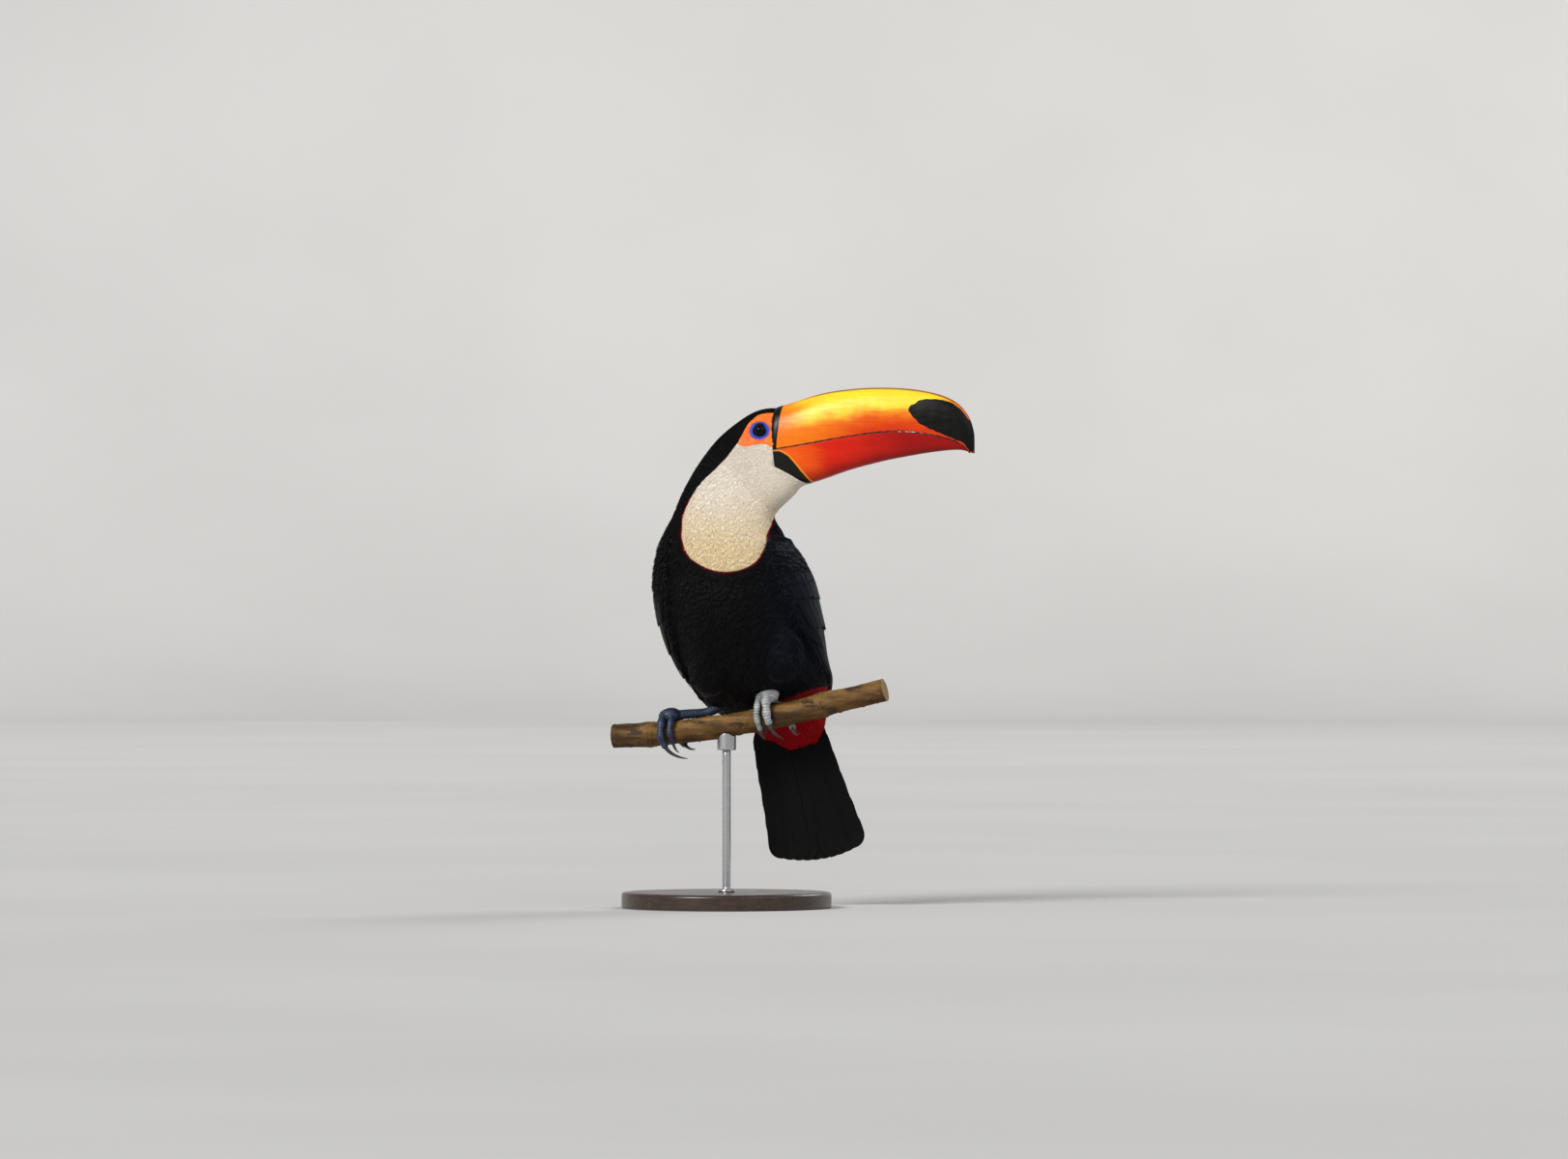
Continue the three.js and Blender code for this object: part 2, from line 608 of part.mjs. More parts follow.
// The trunk, its rear parted into the red coverts in front of the tail and the white ones behind it.
const trunk = body(NECK_END, LAST);
const split = TAIL.y - 1.5;
const rear = trunk.intersect(behindVent(-GAP)).subtract(feetRoom).subtract(palmRooms).subtract(tailRoom);
add("trunk", trunk.subtract(behindVent()).subtract(feetRoom).subtract(palmRooms), BLACK);
add("undertail_coverts", rear.intersect(block([-200, -200, 0], [300, split - GAP / 2, 600])), RED);
add("uppertail_coverts", rear.intersect(block([-200, split + GAP / 2, 0], [300, 200, 600])), WHITE);
add("tail", tail, BLACK);

for (const side of ["left", "right"]) {
  add(`eye_${side}`, eyeball(side), EYE_DARK, { roughness: 0.08 });
  const wing = wingBlank(side).subtract(bodyRoom);
  add(`wing_${side}`, wing, BLACK);
  const thighRoom = bodyRoom.add(feetRoom).add(palmRooms).add(withRoom(wing));
  const thigh = thighSolid(LEGS[side]).subtract(thighRoom);
  add(`thigh_${side}`, thigh, BLACK);
  const shank = tube(curve(LEGS[side].tarsus), (t) => TARSUS_RADIUS * (1 + 0.15 * (2 * t - 1) ** 2), 9, 10);
  const foot = shank.subtract(bodyRoom).subtract(withRoom(thigh)).add(palm(side)).subtract(feetRoom);
  add(`tarsus_${side}`, foot, FOOT_BLUE);
}

add("perch", perchSolid, BARK, { roughness: 0.9 });

// The stand: a round chamfered base, an upright rod, and a saddle that cradles the perch.
const { baseRadius, baseHeight, chamfer, rodRadius, saddleRadius, saddleHeight } = STAND;
const baseProfile = [[0, 0], [baseRadius - 1, 0], [baseRadius, 1], [baseRadius, baseHeight - chamfer]];
baseProfile.push([baseRadius - chamfer, baseHeight], [0, baseHeight]);
const base = new THREE.LatheGeometry(baseProfile.map(([r, z]) => new THREE.Vector2(r, z)), 36);
base.rotateX(Math.PI / 2);
add("stand_base", solid(base), WOOD, { roughness: 0.5 });

/** An upright cylinder standing on the stand's axis. */
function upright(radius, from, to, sides = 20) {
  const geometry = new THREE.CylinderGeometry(radius, radius, to - from, sides);
  geometry.rotateX(Math.PI / 2);
  geometry.translate(0, 0, (from + to) / 2);
  return solid(geometry);
}

const perchAxis = perchPath.getPointAt(alongPerch(0)).z;
const saddleFoot = perchAxis - PERCH.radius - saddleHeight + 5;
add("stand_rod", upright(rodRadius, baseHeight + GAP, saddleFoot - GAP), STEEL, { roughness: 0.3, metalness: 1 });
add("stand_saddle", upright(saddleRadius, saddleFoot, perchAxis - 4).subtract(perchRoom), STEEL, {
  roughness: 0.3,
  metalness: 1,
});

export default part;
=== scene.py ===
"""A life-size toco toucan perched on a cut branch above a display stand.

The bird's shape is one surface, from the bill's base back over the head and down to the tail coverts. A skin
lies under that surface by the depth of the plumage, and feathers rooted on the skin fill the space between.
Shapes are worked out in millimetres in the part's own frame and become metres when a mesh is made.
"""

import logging
import math
from dataclasses import dataclass, field
from enum import Enum
from functools import partial

import bpy
import numpy as np
from mathutils import Matrix, Vector


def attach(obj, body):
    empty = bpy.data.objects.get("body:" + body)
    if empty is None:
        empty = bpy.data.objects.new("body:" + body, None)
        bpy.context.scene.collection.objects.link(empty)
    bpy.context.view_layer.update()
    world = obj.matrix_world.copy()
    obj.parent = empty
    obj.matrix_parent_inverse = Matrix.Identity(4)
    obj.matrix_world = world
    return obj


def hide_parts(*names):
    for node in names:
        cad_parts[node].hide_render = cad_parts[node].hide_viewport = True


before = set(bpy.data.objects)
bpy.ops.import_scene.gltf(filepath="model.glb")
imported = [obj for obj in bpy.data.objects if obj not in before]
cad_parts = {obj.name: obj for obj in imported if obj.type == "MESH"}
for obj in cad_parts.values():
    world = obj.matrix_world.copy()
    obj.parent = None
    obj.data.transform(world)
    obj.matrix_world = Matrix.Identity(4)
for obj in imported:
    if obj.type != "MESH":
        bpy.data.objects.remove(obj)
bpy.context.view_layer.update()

log = logging.getLogger("toucan")
Array = np.ndarray
Faces = list[np.ndarray]
Shape = tuple[Array, Faces]
Masks = dict[str, np.ndarray]
Dressed = tuple[Array, Faces, Masks]
Triple = tuple[float, float, float]
Pair = tuple[float, float]
Pairs = tuple[Pair, ...]
Material = bpy.types.Material
Socket = bpy.types.NodeSocket
Tree = bpy.types.NodeTree
Random = np.random.Generator

MM = 0.001
PATCH = 0.003  # how wide a feather's own patch of the bake map is
CELLS = 8192  # more cells than any coat has in one direction
TRIES = 4  # roots tried for each place that a coat has room for
CROWDING = 1.2  # a cell that holds one root, in spacings
# Large primes that tell apart the cells of the lumps and their seeds, and that mix them, and how many levels
# the lumps have.
LUMP_KEYS = (73856093, 19349663, 83492791)
LUMP_SEEDS = 7919
LUMP_MIX = 1274126177
LUMP_LEVELS = 10007
BODY = "root"
HEAD_Y = -14.0
UP = np.array([0.0, 0.0, 1.0])
FRONT = np.array([0.0, -1.0, 0.0])
LEAN = math.radians(14.5)
TRUNK_PIVOT = np.array([16.2, 0.0, 266.8])
TRUNK_AXIS = np.array([-math.sin(LEAN), 0.0, math.cos(LEAN)])
TRUNK_ACROSS = np.array([math.cos(LEAN), 0.0, math.sin(LEAN)])
BILL_BASE = np.array([[54.4, 482], [54.4, 458], [54.8, 436], [54.7, 418], [68, 412], [80.5, 405.6],
                      [92, 400.4]])


class Side(Enum):
    """The bird's left or right, with the sign of its sideways direction on the head."""

    LEFT = 1
    RIGHT = -1

    @property
    def label(self) -> str:
        """The word for it in names."""
        return self.name.lower()


class Plume(Enum):
    """The colours of plumage."""

    BLACK = "black"
    WHITE = "white"
    RED = "red"


# ------------------------------------------------------------------ numbers and curves


def ease(low: float, high: float, value: Array) -> Array:
    """A smooth ramp.

    Args:
        low: where it is 0.
        high: where it is 1.
        value: what is tested.

    Returns:
        The ramp at each value.
    """
    share = np.clip((value - low) / (high - low), 0.0, 1.0)
    return share * share * (3.0 - 2.0 * share)


def bell(value: Array, middle: float, width: float) -> Array:
    """A bell curve, 1 at its middle and about a third a width away from it."""
    return np.exp(-(((value - middle) / width) ** 2))


def mix(low: Array | float, high: Array | float, share: Array | float) -> Array:
    """The value a share of the way from low to high."""
    return low + (high - low) * share


def soft_least(first: Array, second: Array, reach: float) -> Array:
    """The lesser of two values, rounded where they are within a reach of each other."""
    close = np.maximum(reach - np.abs(first - second), 0) / reach
    return np.minimum(first, second) - close**2 * reach / 4


def unit(vectors: Array) -> Array:
    """The vectors at length 1."""
    return vectors / np.maximum(np.linalg.norm(vectors, axis=-1, keepdims=True), 1e-9)


def half_turned(degrees: Array) -> Array:
    """The same angles, each brought within half a turn of 0."""
    return (degrees + 180) % 360 - 180


def circle(count: int) -> Array:
    """Angles spread evenly once round, in radians."""
    return np.linspace(0, 2 * math.pi, count, endpoint=False)


def curve_through(points: Array, places: Array, tension: float = 0.5) -> Array:
    """A smooth curve through points.

    Args:
        points: the points, one to a row.
        places: where on it, counted in points from the first.
        tension: how strongly it follows its neighbours.

    Returns:
        A row for each place.
    """
    padded = np.vstack([2 * points[0] - points[1], points, 2 * points[-1] - points[-2]])
    first = np.clip(np.floor(places).astype(int), 0, len(points) - 2)
    w = (places - first)[:, None]
    before, start, end, after = (padded[first + k] for k in range(4))
    leave, arrive = tension * (end - before), tension * (after - start)
    cube, square = w**3, w**2
    ends = (2 * cube - 3 * square + 1) * start + (3 * square - 2 * cube) * end
    return ends + (cube - 2 * square + w) * leave + (cube - square) * arrive


def fine_curve(points: Array, count: int) -> Array:
    """A smooth curve through all the points, kept as a number of places on it."""
    return curve_through(np.array(points, float), np.linspace(0, len(points) - 1, count))


def lumps(points: Array, size: float, seed: int = 0) -> Array:
    """Smooth random lumps in space.

    Args:
        points: where they are read, in millimetres.
        size: how far apart they are.
        seed: which set of lumps.

    Returns:
        A value from -1 to 1 for each point.
    """
    place = points / size
    cell = np.floor(place).astype(np.int64)
    share = ease(0, 1, place - cell)
    total = np.zeros(points.shape[:-1])
    for corner in np.ndindex(2, 2, 2):
        key = (cell + corner) * LUMP_KEYS
        mixed = (key[..., 0] ^ key[..., 1] ^ key[..., 2]) + seed * LUMP_SEEDS
        mixed = (mixed ^ (mixed >> 13)) * LUMP_MIX
        value = ((mixed ^ (mixed >> 16)) % LUMP_LEVELS) / (LUMP_LEVELS // 2) - 1.0
        total += np.prod(np.where(corner, share, 1 - share), axis=-1) * value
    return total


def offset_from(points: Array, line: Array) -> Array:
    """How far points lie to the left of a line drawn through corners in a plane.

    Args:
        points: the points, two numbers each.
        line: the corners in order.

    Returns:
        The distance, below 0 on the line's right.
    """
    nearest = np.full(points.shape[:-1], 1e9)
    signed = np.zeros(points.shape[:-1])
    for start, end in zip(line[:-1], line[1:]):
        way, gap = end - start, points - start
        share = np.clip((gap @ way) / (way @ way), 0, 1)
        apart = np.linalg.norm(gap - share[..., None] * way, axis=-1)
        side = way[0] * gap[..., 1] - way[1] * gap[..., 0]
        closer = apart < nearest
        nearest = np.where(closer, apart, nearest)
        signed = np.where(closer, np.where(side > 0, apart, -apart), signed)
    return signed


def inside_of(points: Array, corners: Array) -> Array:
    """How far points lie inside a closed outline.

    Args:
        points: the points, two numbers each.
        corners: the outline's corners in order.

    Returns:
        The distance, below 0 outside.
    """
    closed = np.vstack([corners, corners[:1]])
    crossings = np.zeros(points.shape[:-1], dtype=int)
    for (x0, z0), (x1, z1) in zip(closed[:-1], closed[1:]):
        spans = (z0 > points[..., 1]) != (z1 > points[..., 1])
        rise = z1 - z0 if z1 != z0 else 1e-9
        crossings += spans & (points[..., 0] < x0 + (points[..., 1] - z0) * (x1 - x0) / rise)
    return np.abs(offset_from(points, closed)) * np.where(crossings % 2 == 1, 1, -1)


class Strand:
    """A smooth curve in space, measured by its length."""

    def __init__(self, points: Array, tension: float = 0.5) -> None:
        """Runs the curve through its points.

        Args:
            points: the points, one to a row.
            tension: how strongly it follows its neighbours.
        """
        self.points = curve_through(np.array(points, float), np.linspace(0, len(points) - 1, 400), tension)
        spans = np.linalg.norm(np.diff(self.points, axis=0), axis=1)
        self.run = np.concatenate([[0.0], np.cumsum(spans)])
        self.length = float(self.run[-1])

    def at(self, share: Array | float) -> Array:
        """The points at shares of the length, from 0 to 1."""
        where = np.atleast_1d(share) * self.length
        return np.stack([np.interp(where, self.run, self.points[:, k]) for k in range(3)], axis=-1)

    def heading(self, share: Array | float) -> Array:
        """The unit tangents at shares of the length."""
        low, high = (np.clip(np.atleast_1d(share) + step, 0, 1) for step in (-0.004, 0.004))
        return unit(self.at(high) - self.at(low))


# ------------------------------------------------------------------ meshes


def tube_faces(rows: int, ring: int, closed: bool = True) -> Faces:
    """The faces of rings of points joined in order.

    Args:
        rows: how many rings.
        ring: points in each ring.
        closed: whether the ends are filled.

    Returns:
        Four-sided faces, and one face over each end.
    """
    r, c = np.meshgrid(np.arange(rows - 1), np.arange(ring), indexing="ij")
    a, b = r * ring + c, r * ring + (c + 1) % ring
    sides = np.stack([a, b, b + ring, a + ring], axis=-1).reshape(-1, 4)
    ends = [np.arange(ring)[::-1][None, :], ((rows - 1) * ring + np.arange(ring))[None, :]]
    return [sides, *ends] if closed else [sides]


def outwards(points: Array, faces: Faces) -> Faces:
    """Turns the faces of closed shapes so that they look outwards.

    Args:
        points: the shapes' points.
        faces: their faces, all turned alike.

    Returns:
        The faces, turned round if need be.
    """
    volume = 0.0
    for group in faces:
        for k in range(1, group.shape[1] - 1):
            a, b, c = (points[group[:, j]] for j in (0, k, k + 1))
            volume += float((a * np.cross(b, c)).sum())
    return faces if volume >= 0 else [group[:, ::-1] for group in faces]


def solid(rings: Array) -> Shape:
    """The closed shape of rings of points in order."""
    points = rings.reshape(-1, 3)
    return points, outwards(points, tube_faces(*rings.shape[:2]))


def turned(profile: Pairs | list[Pair], around: int) -> Array:
    """Turns a profile round the upright axis.

    Args:
        profile: its radii and heights.
        around: points in each ring.

    Returns:
        The rings of points.
    """
    radius, height = np.array(profile, float).T[..., None]
    angle = circle(around)
    return np.stack([radius * np.cos(angle), radius * np.sin(angle), height + 0 * angle], axis=-1)


def ringed(path: Strand, radius: Array, share: Array, around: int, up: Array, flatten: float = 1.0) -> Array:
    """The rings of a tube along a curve.

    Args:
        path: the curve.
        radius: its radius at each share.
        share: where its rings stand, from 0 to 1.
        around: points in each ring.
        up: the direction in which a ring's first point lies.
        flatten: the tube's width sideways, in shares of its height.

    Returns:
        The rings of points.
    """
    along = path.heading(share)
    across = unit(np.cross(along, up))
    rise = np.cross(across, along)
    angle = circle(around)[None, :, None]
    out = np.cos(angle) * rise[:, None] + np.sin(angle) * across[:, None] * flatten
    return path.at(share)[:, None] + out * radius[:, None, None]


def merged(parts: list[Shape]) -> Shape:
    """Joins several shapes into one.

    Args:
        parts: the points and faces of each.

    Returns:
        All the points and faces.
    """
    faces, shift = [], 0
    for part_points, part_faces in parts:
        faces += [f + shift for f in part_faces]
        shift += len(part_points)
    return np.vstack([points for points, _ in parts]), faces


@dataclass
class Piece:
    """A mesh in the making: points in millimetres, faces, and what its material reads from it."""

    name: str
    points: Array
    faces: Faces
    masks: Masks = field(default_factory=dict)
    maps: Masks = field(default_factory=dict)
    face_finish: Array | None = None

    def make(self, finishes: list[Material]) -> bpy.types.Object:
        """Makes the object.

        Args:
            finishes: its materials, the first one used where face_finish says nothing.

        Returns:
            The new object, linked to the scene.
        """
        mesh = bpy.data.meshes.new(self.name)
        corners = np.concatenate([f.ravel() for f in self.faces]).astype(np.int32)
        sizes = np.concatenate([np.full(len(f), f.shape[1]) for f in self.faces])
        mesh.vertices.add(len(self.points))
        mesh.vertices.foreach_set("co", (self.points * MM).astype(np.float32).ravel())
        mesh.loops.add(len(corners))
        mesh.loops.foreach_set("vertex_index", corners)
        mesh.polygons.add(len(sizes))
        mesh.polygons.foreach_set("loop_start", np.concatenate([[0], np.cumsum(sizes)[:-1]]).astype(np.int32))
        if self.face_finish is not None:
            mesh.polygons.foreach_set("material_index", self.face_finish.astype(np.int32))
        mesh.update(calc_edges=True)
        mesh.polygons.foreach_set("use_smooth", np.ones(len(sizes), dtype=bool))
        for name, values in self.masks.items():
            mask = mesh.attributes.new(name, "FLOAT", "POINT").data
            mask.foreach_set("value", values.astype(np.float32).ravel())
        for name, places in self.maps.items():
            mesh.uv_layers.new(name=name).data.foreach_set("uv", places[corners].astype(np.float32).ravel())
        for finish in finishes:
            mesh.materials.append(finish)
        made = bpy.data.objects.new(self.name, mesh)
        bpy.context.collection.objects.link(made)
        log.info("%s: %d triangles", self.name, int((sizes - 2).sum()))
        return made

    def settle(self, finishes: list[Material], slot: str, *nodes: str) -> None:
        """Makes the object, puts it on the body and hides the solids that it replaces.

        Args:
            finishes: its materials.
            slot: not used.
            nodes: the solids that it replaces.
        """
        made = self.make(finishes)
        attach(made, BODY)
        if nodes:
            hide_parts(*nodes)


@dataclass
class Spines:
    """The middle lines of feathers over a surface, one feather to a row of each array."""

    rows: Array
    columns: Array

    def at(self, shares: Array) -> tuple[Array, Array]:
        """Where the lines are at shares of their length.

        Args:
            shares: the shares, the same on every feather.

        Returns:
            The rows and columns.
        """
        place = np.clip(shares, 0, 1) * (self.rows.shape[1] - 1)
        low = np.minimum(np.floor(place).astype(int), self.rows.shape[1] - 2)
        return tuple(mix(line[:, low], line[:, low + 1], place - low) for line in (self.rows, self.columns))

    def kept(self, chosen: Array) -> "Spines":
        """Only some of the feathers."""
        return Spines(self.rows[chosen], self.columns[chosen])


@dataclass
class Surface:
    """A surface kept as a grid of points, its columns closed into rings."""

    points: Array

    def __post_init__(self) -> None:
        """Works out the grid's normals and how far apart its rows and columns are."""
        self.rows, self.columns = self.points.shape[:2]
        down = np.gradient(self.points, axis=0)
        round_it = (np.roll(self.points, -1, axis=1) - np.roll(self.points, 1, axis=1)) / 2
        normals = unit(np.cross(round_it, down))
        away = self.points - self.points.mean(axis=1, keepdims=True)
        self.normals = normals * (1 if (normals * away).sum() > 0 else -1)
        self.paces = np.stack([np.linalg.norm(down, axis=-1), np.linalg.norm(round_it, axis=-1)], axis=-1)

    def read(self, grid: Array, rows: Array, columns: Array, past: bool = False) -> Array:
        """A grid's values between its points.

        Args:
            grid: what is read, rows by columns by values.
            rows: the rows.
            columns: the columns, which go round.
            past: whether the rows may run past the last.

        Returns:
            The values, smooth between the grid's points.
        """
        rows = rows if past else np.clip(rows, 0, self.rows - 1)
        r = np.clip(np.floor(rows).astype(int), 0, self.rows - 2)
        c = np.floor(columns).astype(int)
        down, across = (rows - r)[..., None], (columns - c)[..., None]
        c, beside = c % self.columns, (c + 1) % self.columns
        near, far = (mix(grid[row, c], grid[row, beside], across) for row in (r, r + 1))
        return mix(near, far, down)

    def place(self, rows: Array, columns: Array) -> Array:
        """The points of the surface at rows, which may run past the last, and columns."""
        return self.read(self.points, rows, columns, True)

    def pace(self, rows: Array, columns: Array) -> Array:
        """How many millimetres a row and a column are there."""
        return np.maximum(np.moveaxis(self.read(self.paces, rows, columns), -1, 0), 0.05)

    def room(self, rows: Array, columns: Array) -> Array:
        """About how far below each place the surface ends."""
        return (self.rows - 1 - rows) * self.pace(rows, columns)[0]

    def run(self, rows: Array, columns: Array, heading: Array, length: Array, bend: Array,
            steps: int = 4) -> Spines:
        """Runs a line over the surface from each root.

        Args:
            rows: the roots' rows.
            columns: the roots' columns.
            heading: the line's turn away from straight down, in radians, towards higher columns.
            length: how long it is.
            bend: how much it turns on its way.
            steps: how many steps it takes.

        Returns:
            The lines.
        """
        all_rows, all_columns = [rows], [columns]
        for _ in range(steps):
            down, across = self.pace(all_rows[-1], all_columns[-1])
            all_rows.append(all_rows[-1] + np.cos(heading) * length / steps / down)
            all_columns.append(all_columns[-1] + np.sin(heading) * length / steps / across)
            heading = heading + bend / steps
        return Spines(np.stack(all_rows, axis=-1), np.stack(all_columns, axis=-1))

    def scatter(self, spacing: float, share: Array, rng: Random) -> tuple[Array, Array]:
        """Roots spread evenly at random.

        Args:
            spacing: about how far apart they are.
            share: how likely each grid place is, from 0 to 1.
            rng: the source of chance.

        Returns:
            Their rows and columns.
        """
        weights = (self.paces.prod(axis=-1) * share)[:-1].ravel()
        total = weights.sum()
        count = int(TRIES * total / spacing**2)
        picked = rng.choice(weights.size, size=count, p=weights / total)
        rows = picked // self.columns + rng.random(count)
        columns = picked % self.columns + rng.random(count)
        cells = np.floor(self.place(rows, columns) / (CROWDING * spacing)).astype(np.int64) + CELLS // 2
        keys = (cells[:, 0] * CELLS + cells[:, 1]) * CELLS + cells[:, 2]
        first = np.unique(keys, return_index=True)[1]
        return rows[first], columns[first]


# ------------------------------------------------------------------ the bird's shape

# The head and neck's sections: x and z of crown or nape, x and z of chin or throat, middle y, and half width.
HEAD_AND_NECK = np.array([
    [61, 474.5, 86.5, 404.3, HEAD_Y, 17], [46.5, 476, 77, 399.8, HEAD_Y, 20.2],
    [30.5, 472, 71, 393, HEAD_Y, 22], [13, 461.4, 64, 386.4, HEAD_Y, 23.4],
    [-4.8, 446.8, 56.5, 380, -13.5, 25.2], [-21, 427.8, 51, 373.5, -12.5, 28],
    [-35, 406.6, 48.3, 367, -11, 32], [-45.5, 386, 47.8, 361.5, -9, 38], [-54, 362.5, 51.5, 354.5, -6.5, 46]])
# Sections square to the trunk's axis: height, sideways shift, half width, and the breast's and the back's y.
TRUNK = np.array([
    [70, 0, 61, -59, 50], [46, 0, 66, -64, 56], [23, 0, 68, -66, 60], [0, 0, 67.5, -64, 63],
    [-24, 0, 65, -56, 66], [-47, 0, 60, -40, 69], [-66, 0, 57, -13, 71], [-83, 5, 48, 14, 71],
    [-98, 13, 34, 26, 70], [-112, 15, 25, 34, 67], [-121, 15, 14, 42, 63]])
# How far the plumage is puffed out where the turned neck meets the left shoulder, by section number.
SHOULDER_FLUFF = ((5.0, 0), (5.6, 3.4), (6.1, 6.8), (6.6, 9.2), (7.1, 9.6), (7.7, 8.4), (8.2, 7.1),
                  (8.6, 5.6), (9.0, 1.4), (9.3, -2.6), (9.6, -3), (10.2, -1), (10.8, 0))
LAST = len(HEAD_AND_NECK) + len(TRUNK) - 1


def on_trunk(across: Array | float, back: Array | float, height: Array | float) -> Array:
    """Points of the trunk's own leaning frame."""
    outer = np.multiply.outer
    return TRUNK_PIVOT + outer(across, TRUNK_ACROSS) + outer(height, TRUNK_AXIS) - outer(back, FRONT)


@dataclass
class WingPlan:
    """Where one folded wing lies on the body: its own places are down, 0 to 1, and share, front to back."""

    side: Side
    start: float
    end: float = 16.9
    downs: tuple[float, ...] = (0, 0.045, 0.11, 0.22, 0.33, 0.45, 0.56, 0.67, 0.78, 0.89, 1)
    fronts: tuple[float, ...] = (22, 34, 40, 40, 37, 31, 22, 10, -5, -25, -50)
    backs: tuple[float, ...] = (-50, -64, -75, -83, -86, -87, -87, -86, -84, -79, -68)
    thicknesses: tuple[float, ...] = (2.4, 8.6, 12, 12, 11.5, 11, 11, 11.5, 12, 9, 3.8)

    def edges(self, down: Array) -> list[Array]:
        """The wing's edges and thickness.

        Args:
            down: places down the wing.

        Returns:
            Its front angle and back angle in degrees, and its thickness there.
        """
        fine = fine_curve(np.stack([self.downs, self.fronts, self.backs, self.thicknesses], axis=-1), 400)
        return [np.interp(np.clip(down, 0, 1), fine[:, 0], fine[:, k]) for k in (1, 2, 3)]

    def own_place(self, at: Array, degrees: Array) -> tuple[Array, Array]:
        """Where on the wing a place on the body is.

        Args:
            at: the section number.
            degrees: the angle round the body.

        Returns:
            How far down the wing, and the share from its front edge to its back.
        """
        down = (at - self.start) / (self.end - self.start)
        front, back, _ = self.edges(down)
        turned_to = half_turned(degrees if self.side is Side.LEFT else 180 - degrees)
        return down, (turned_to - front) / (back - front)

    def thickness(self, at: Array, degrees: Array) -> Array:
        """How far the wing stands off the body.

        Args:
            at: the section number.
            degrees: the angle round the body.

        Returns:
            The distance, 0 beyond the wing's edges.
        """
        down, share = self.own_place(at, degrees)
        fullness = np.sin(np.pi * np.clip(share, 0.001, 0.999) ** 0.72) ** 0.6
        edge = ease(-0.004, 0.012, share) * ease(-0.004, 0.012, 1 - share)
        ends = ease(-0.035, 0.02, down) * ease(-0.01, 0.008, 1 - down)
        return (1.9 + (self.edges(down)[2] - 1.7) * fullness) * edge * ends

    def on_body(self, down: Array, share: Array) -> tuple[Array, Array]:
        """Where on the body a place on the wing is.

        Args:
            down: how far down the wing.
            share: the share from its front edge to its back.

        Returns:
            The section number and the angle in degrees.
        """
        front, back, _ = self.edges(down)
        degrees = mix(front, back, share)
        return mix(self.start, self.end, down), degrees if self.side is Side.LEFT else 180 - degrees


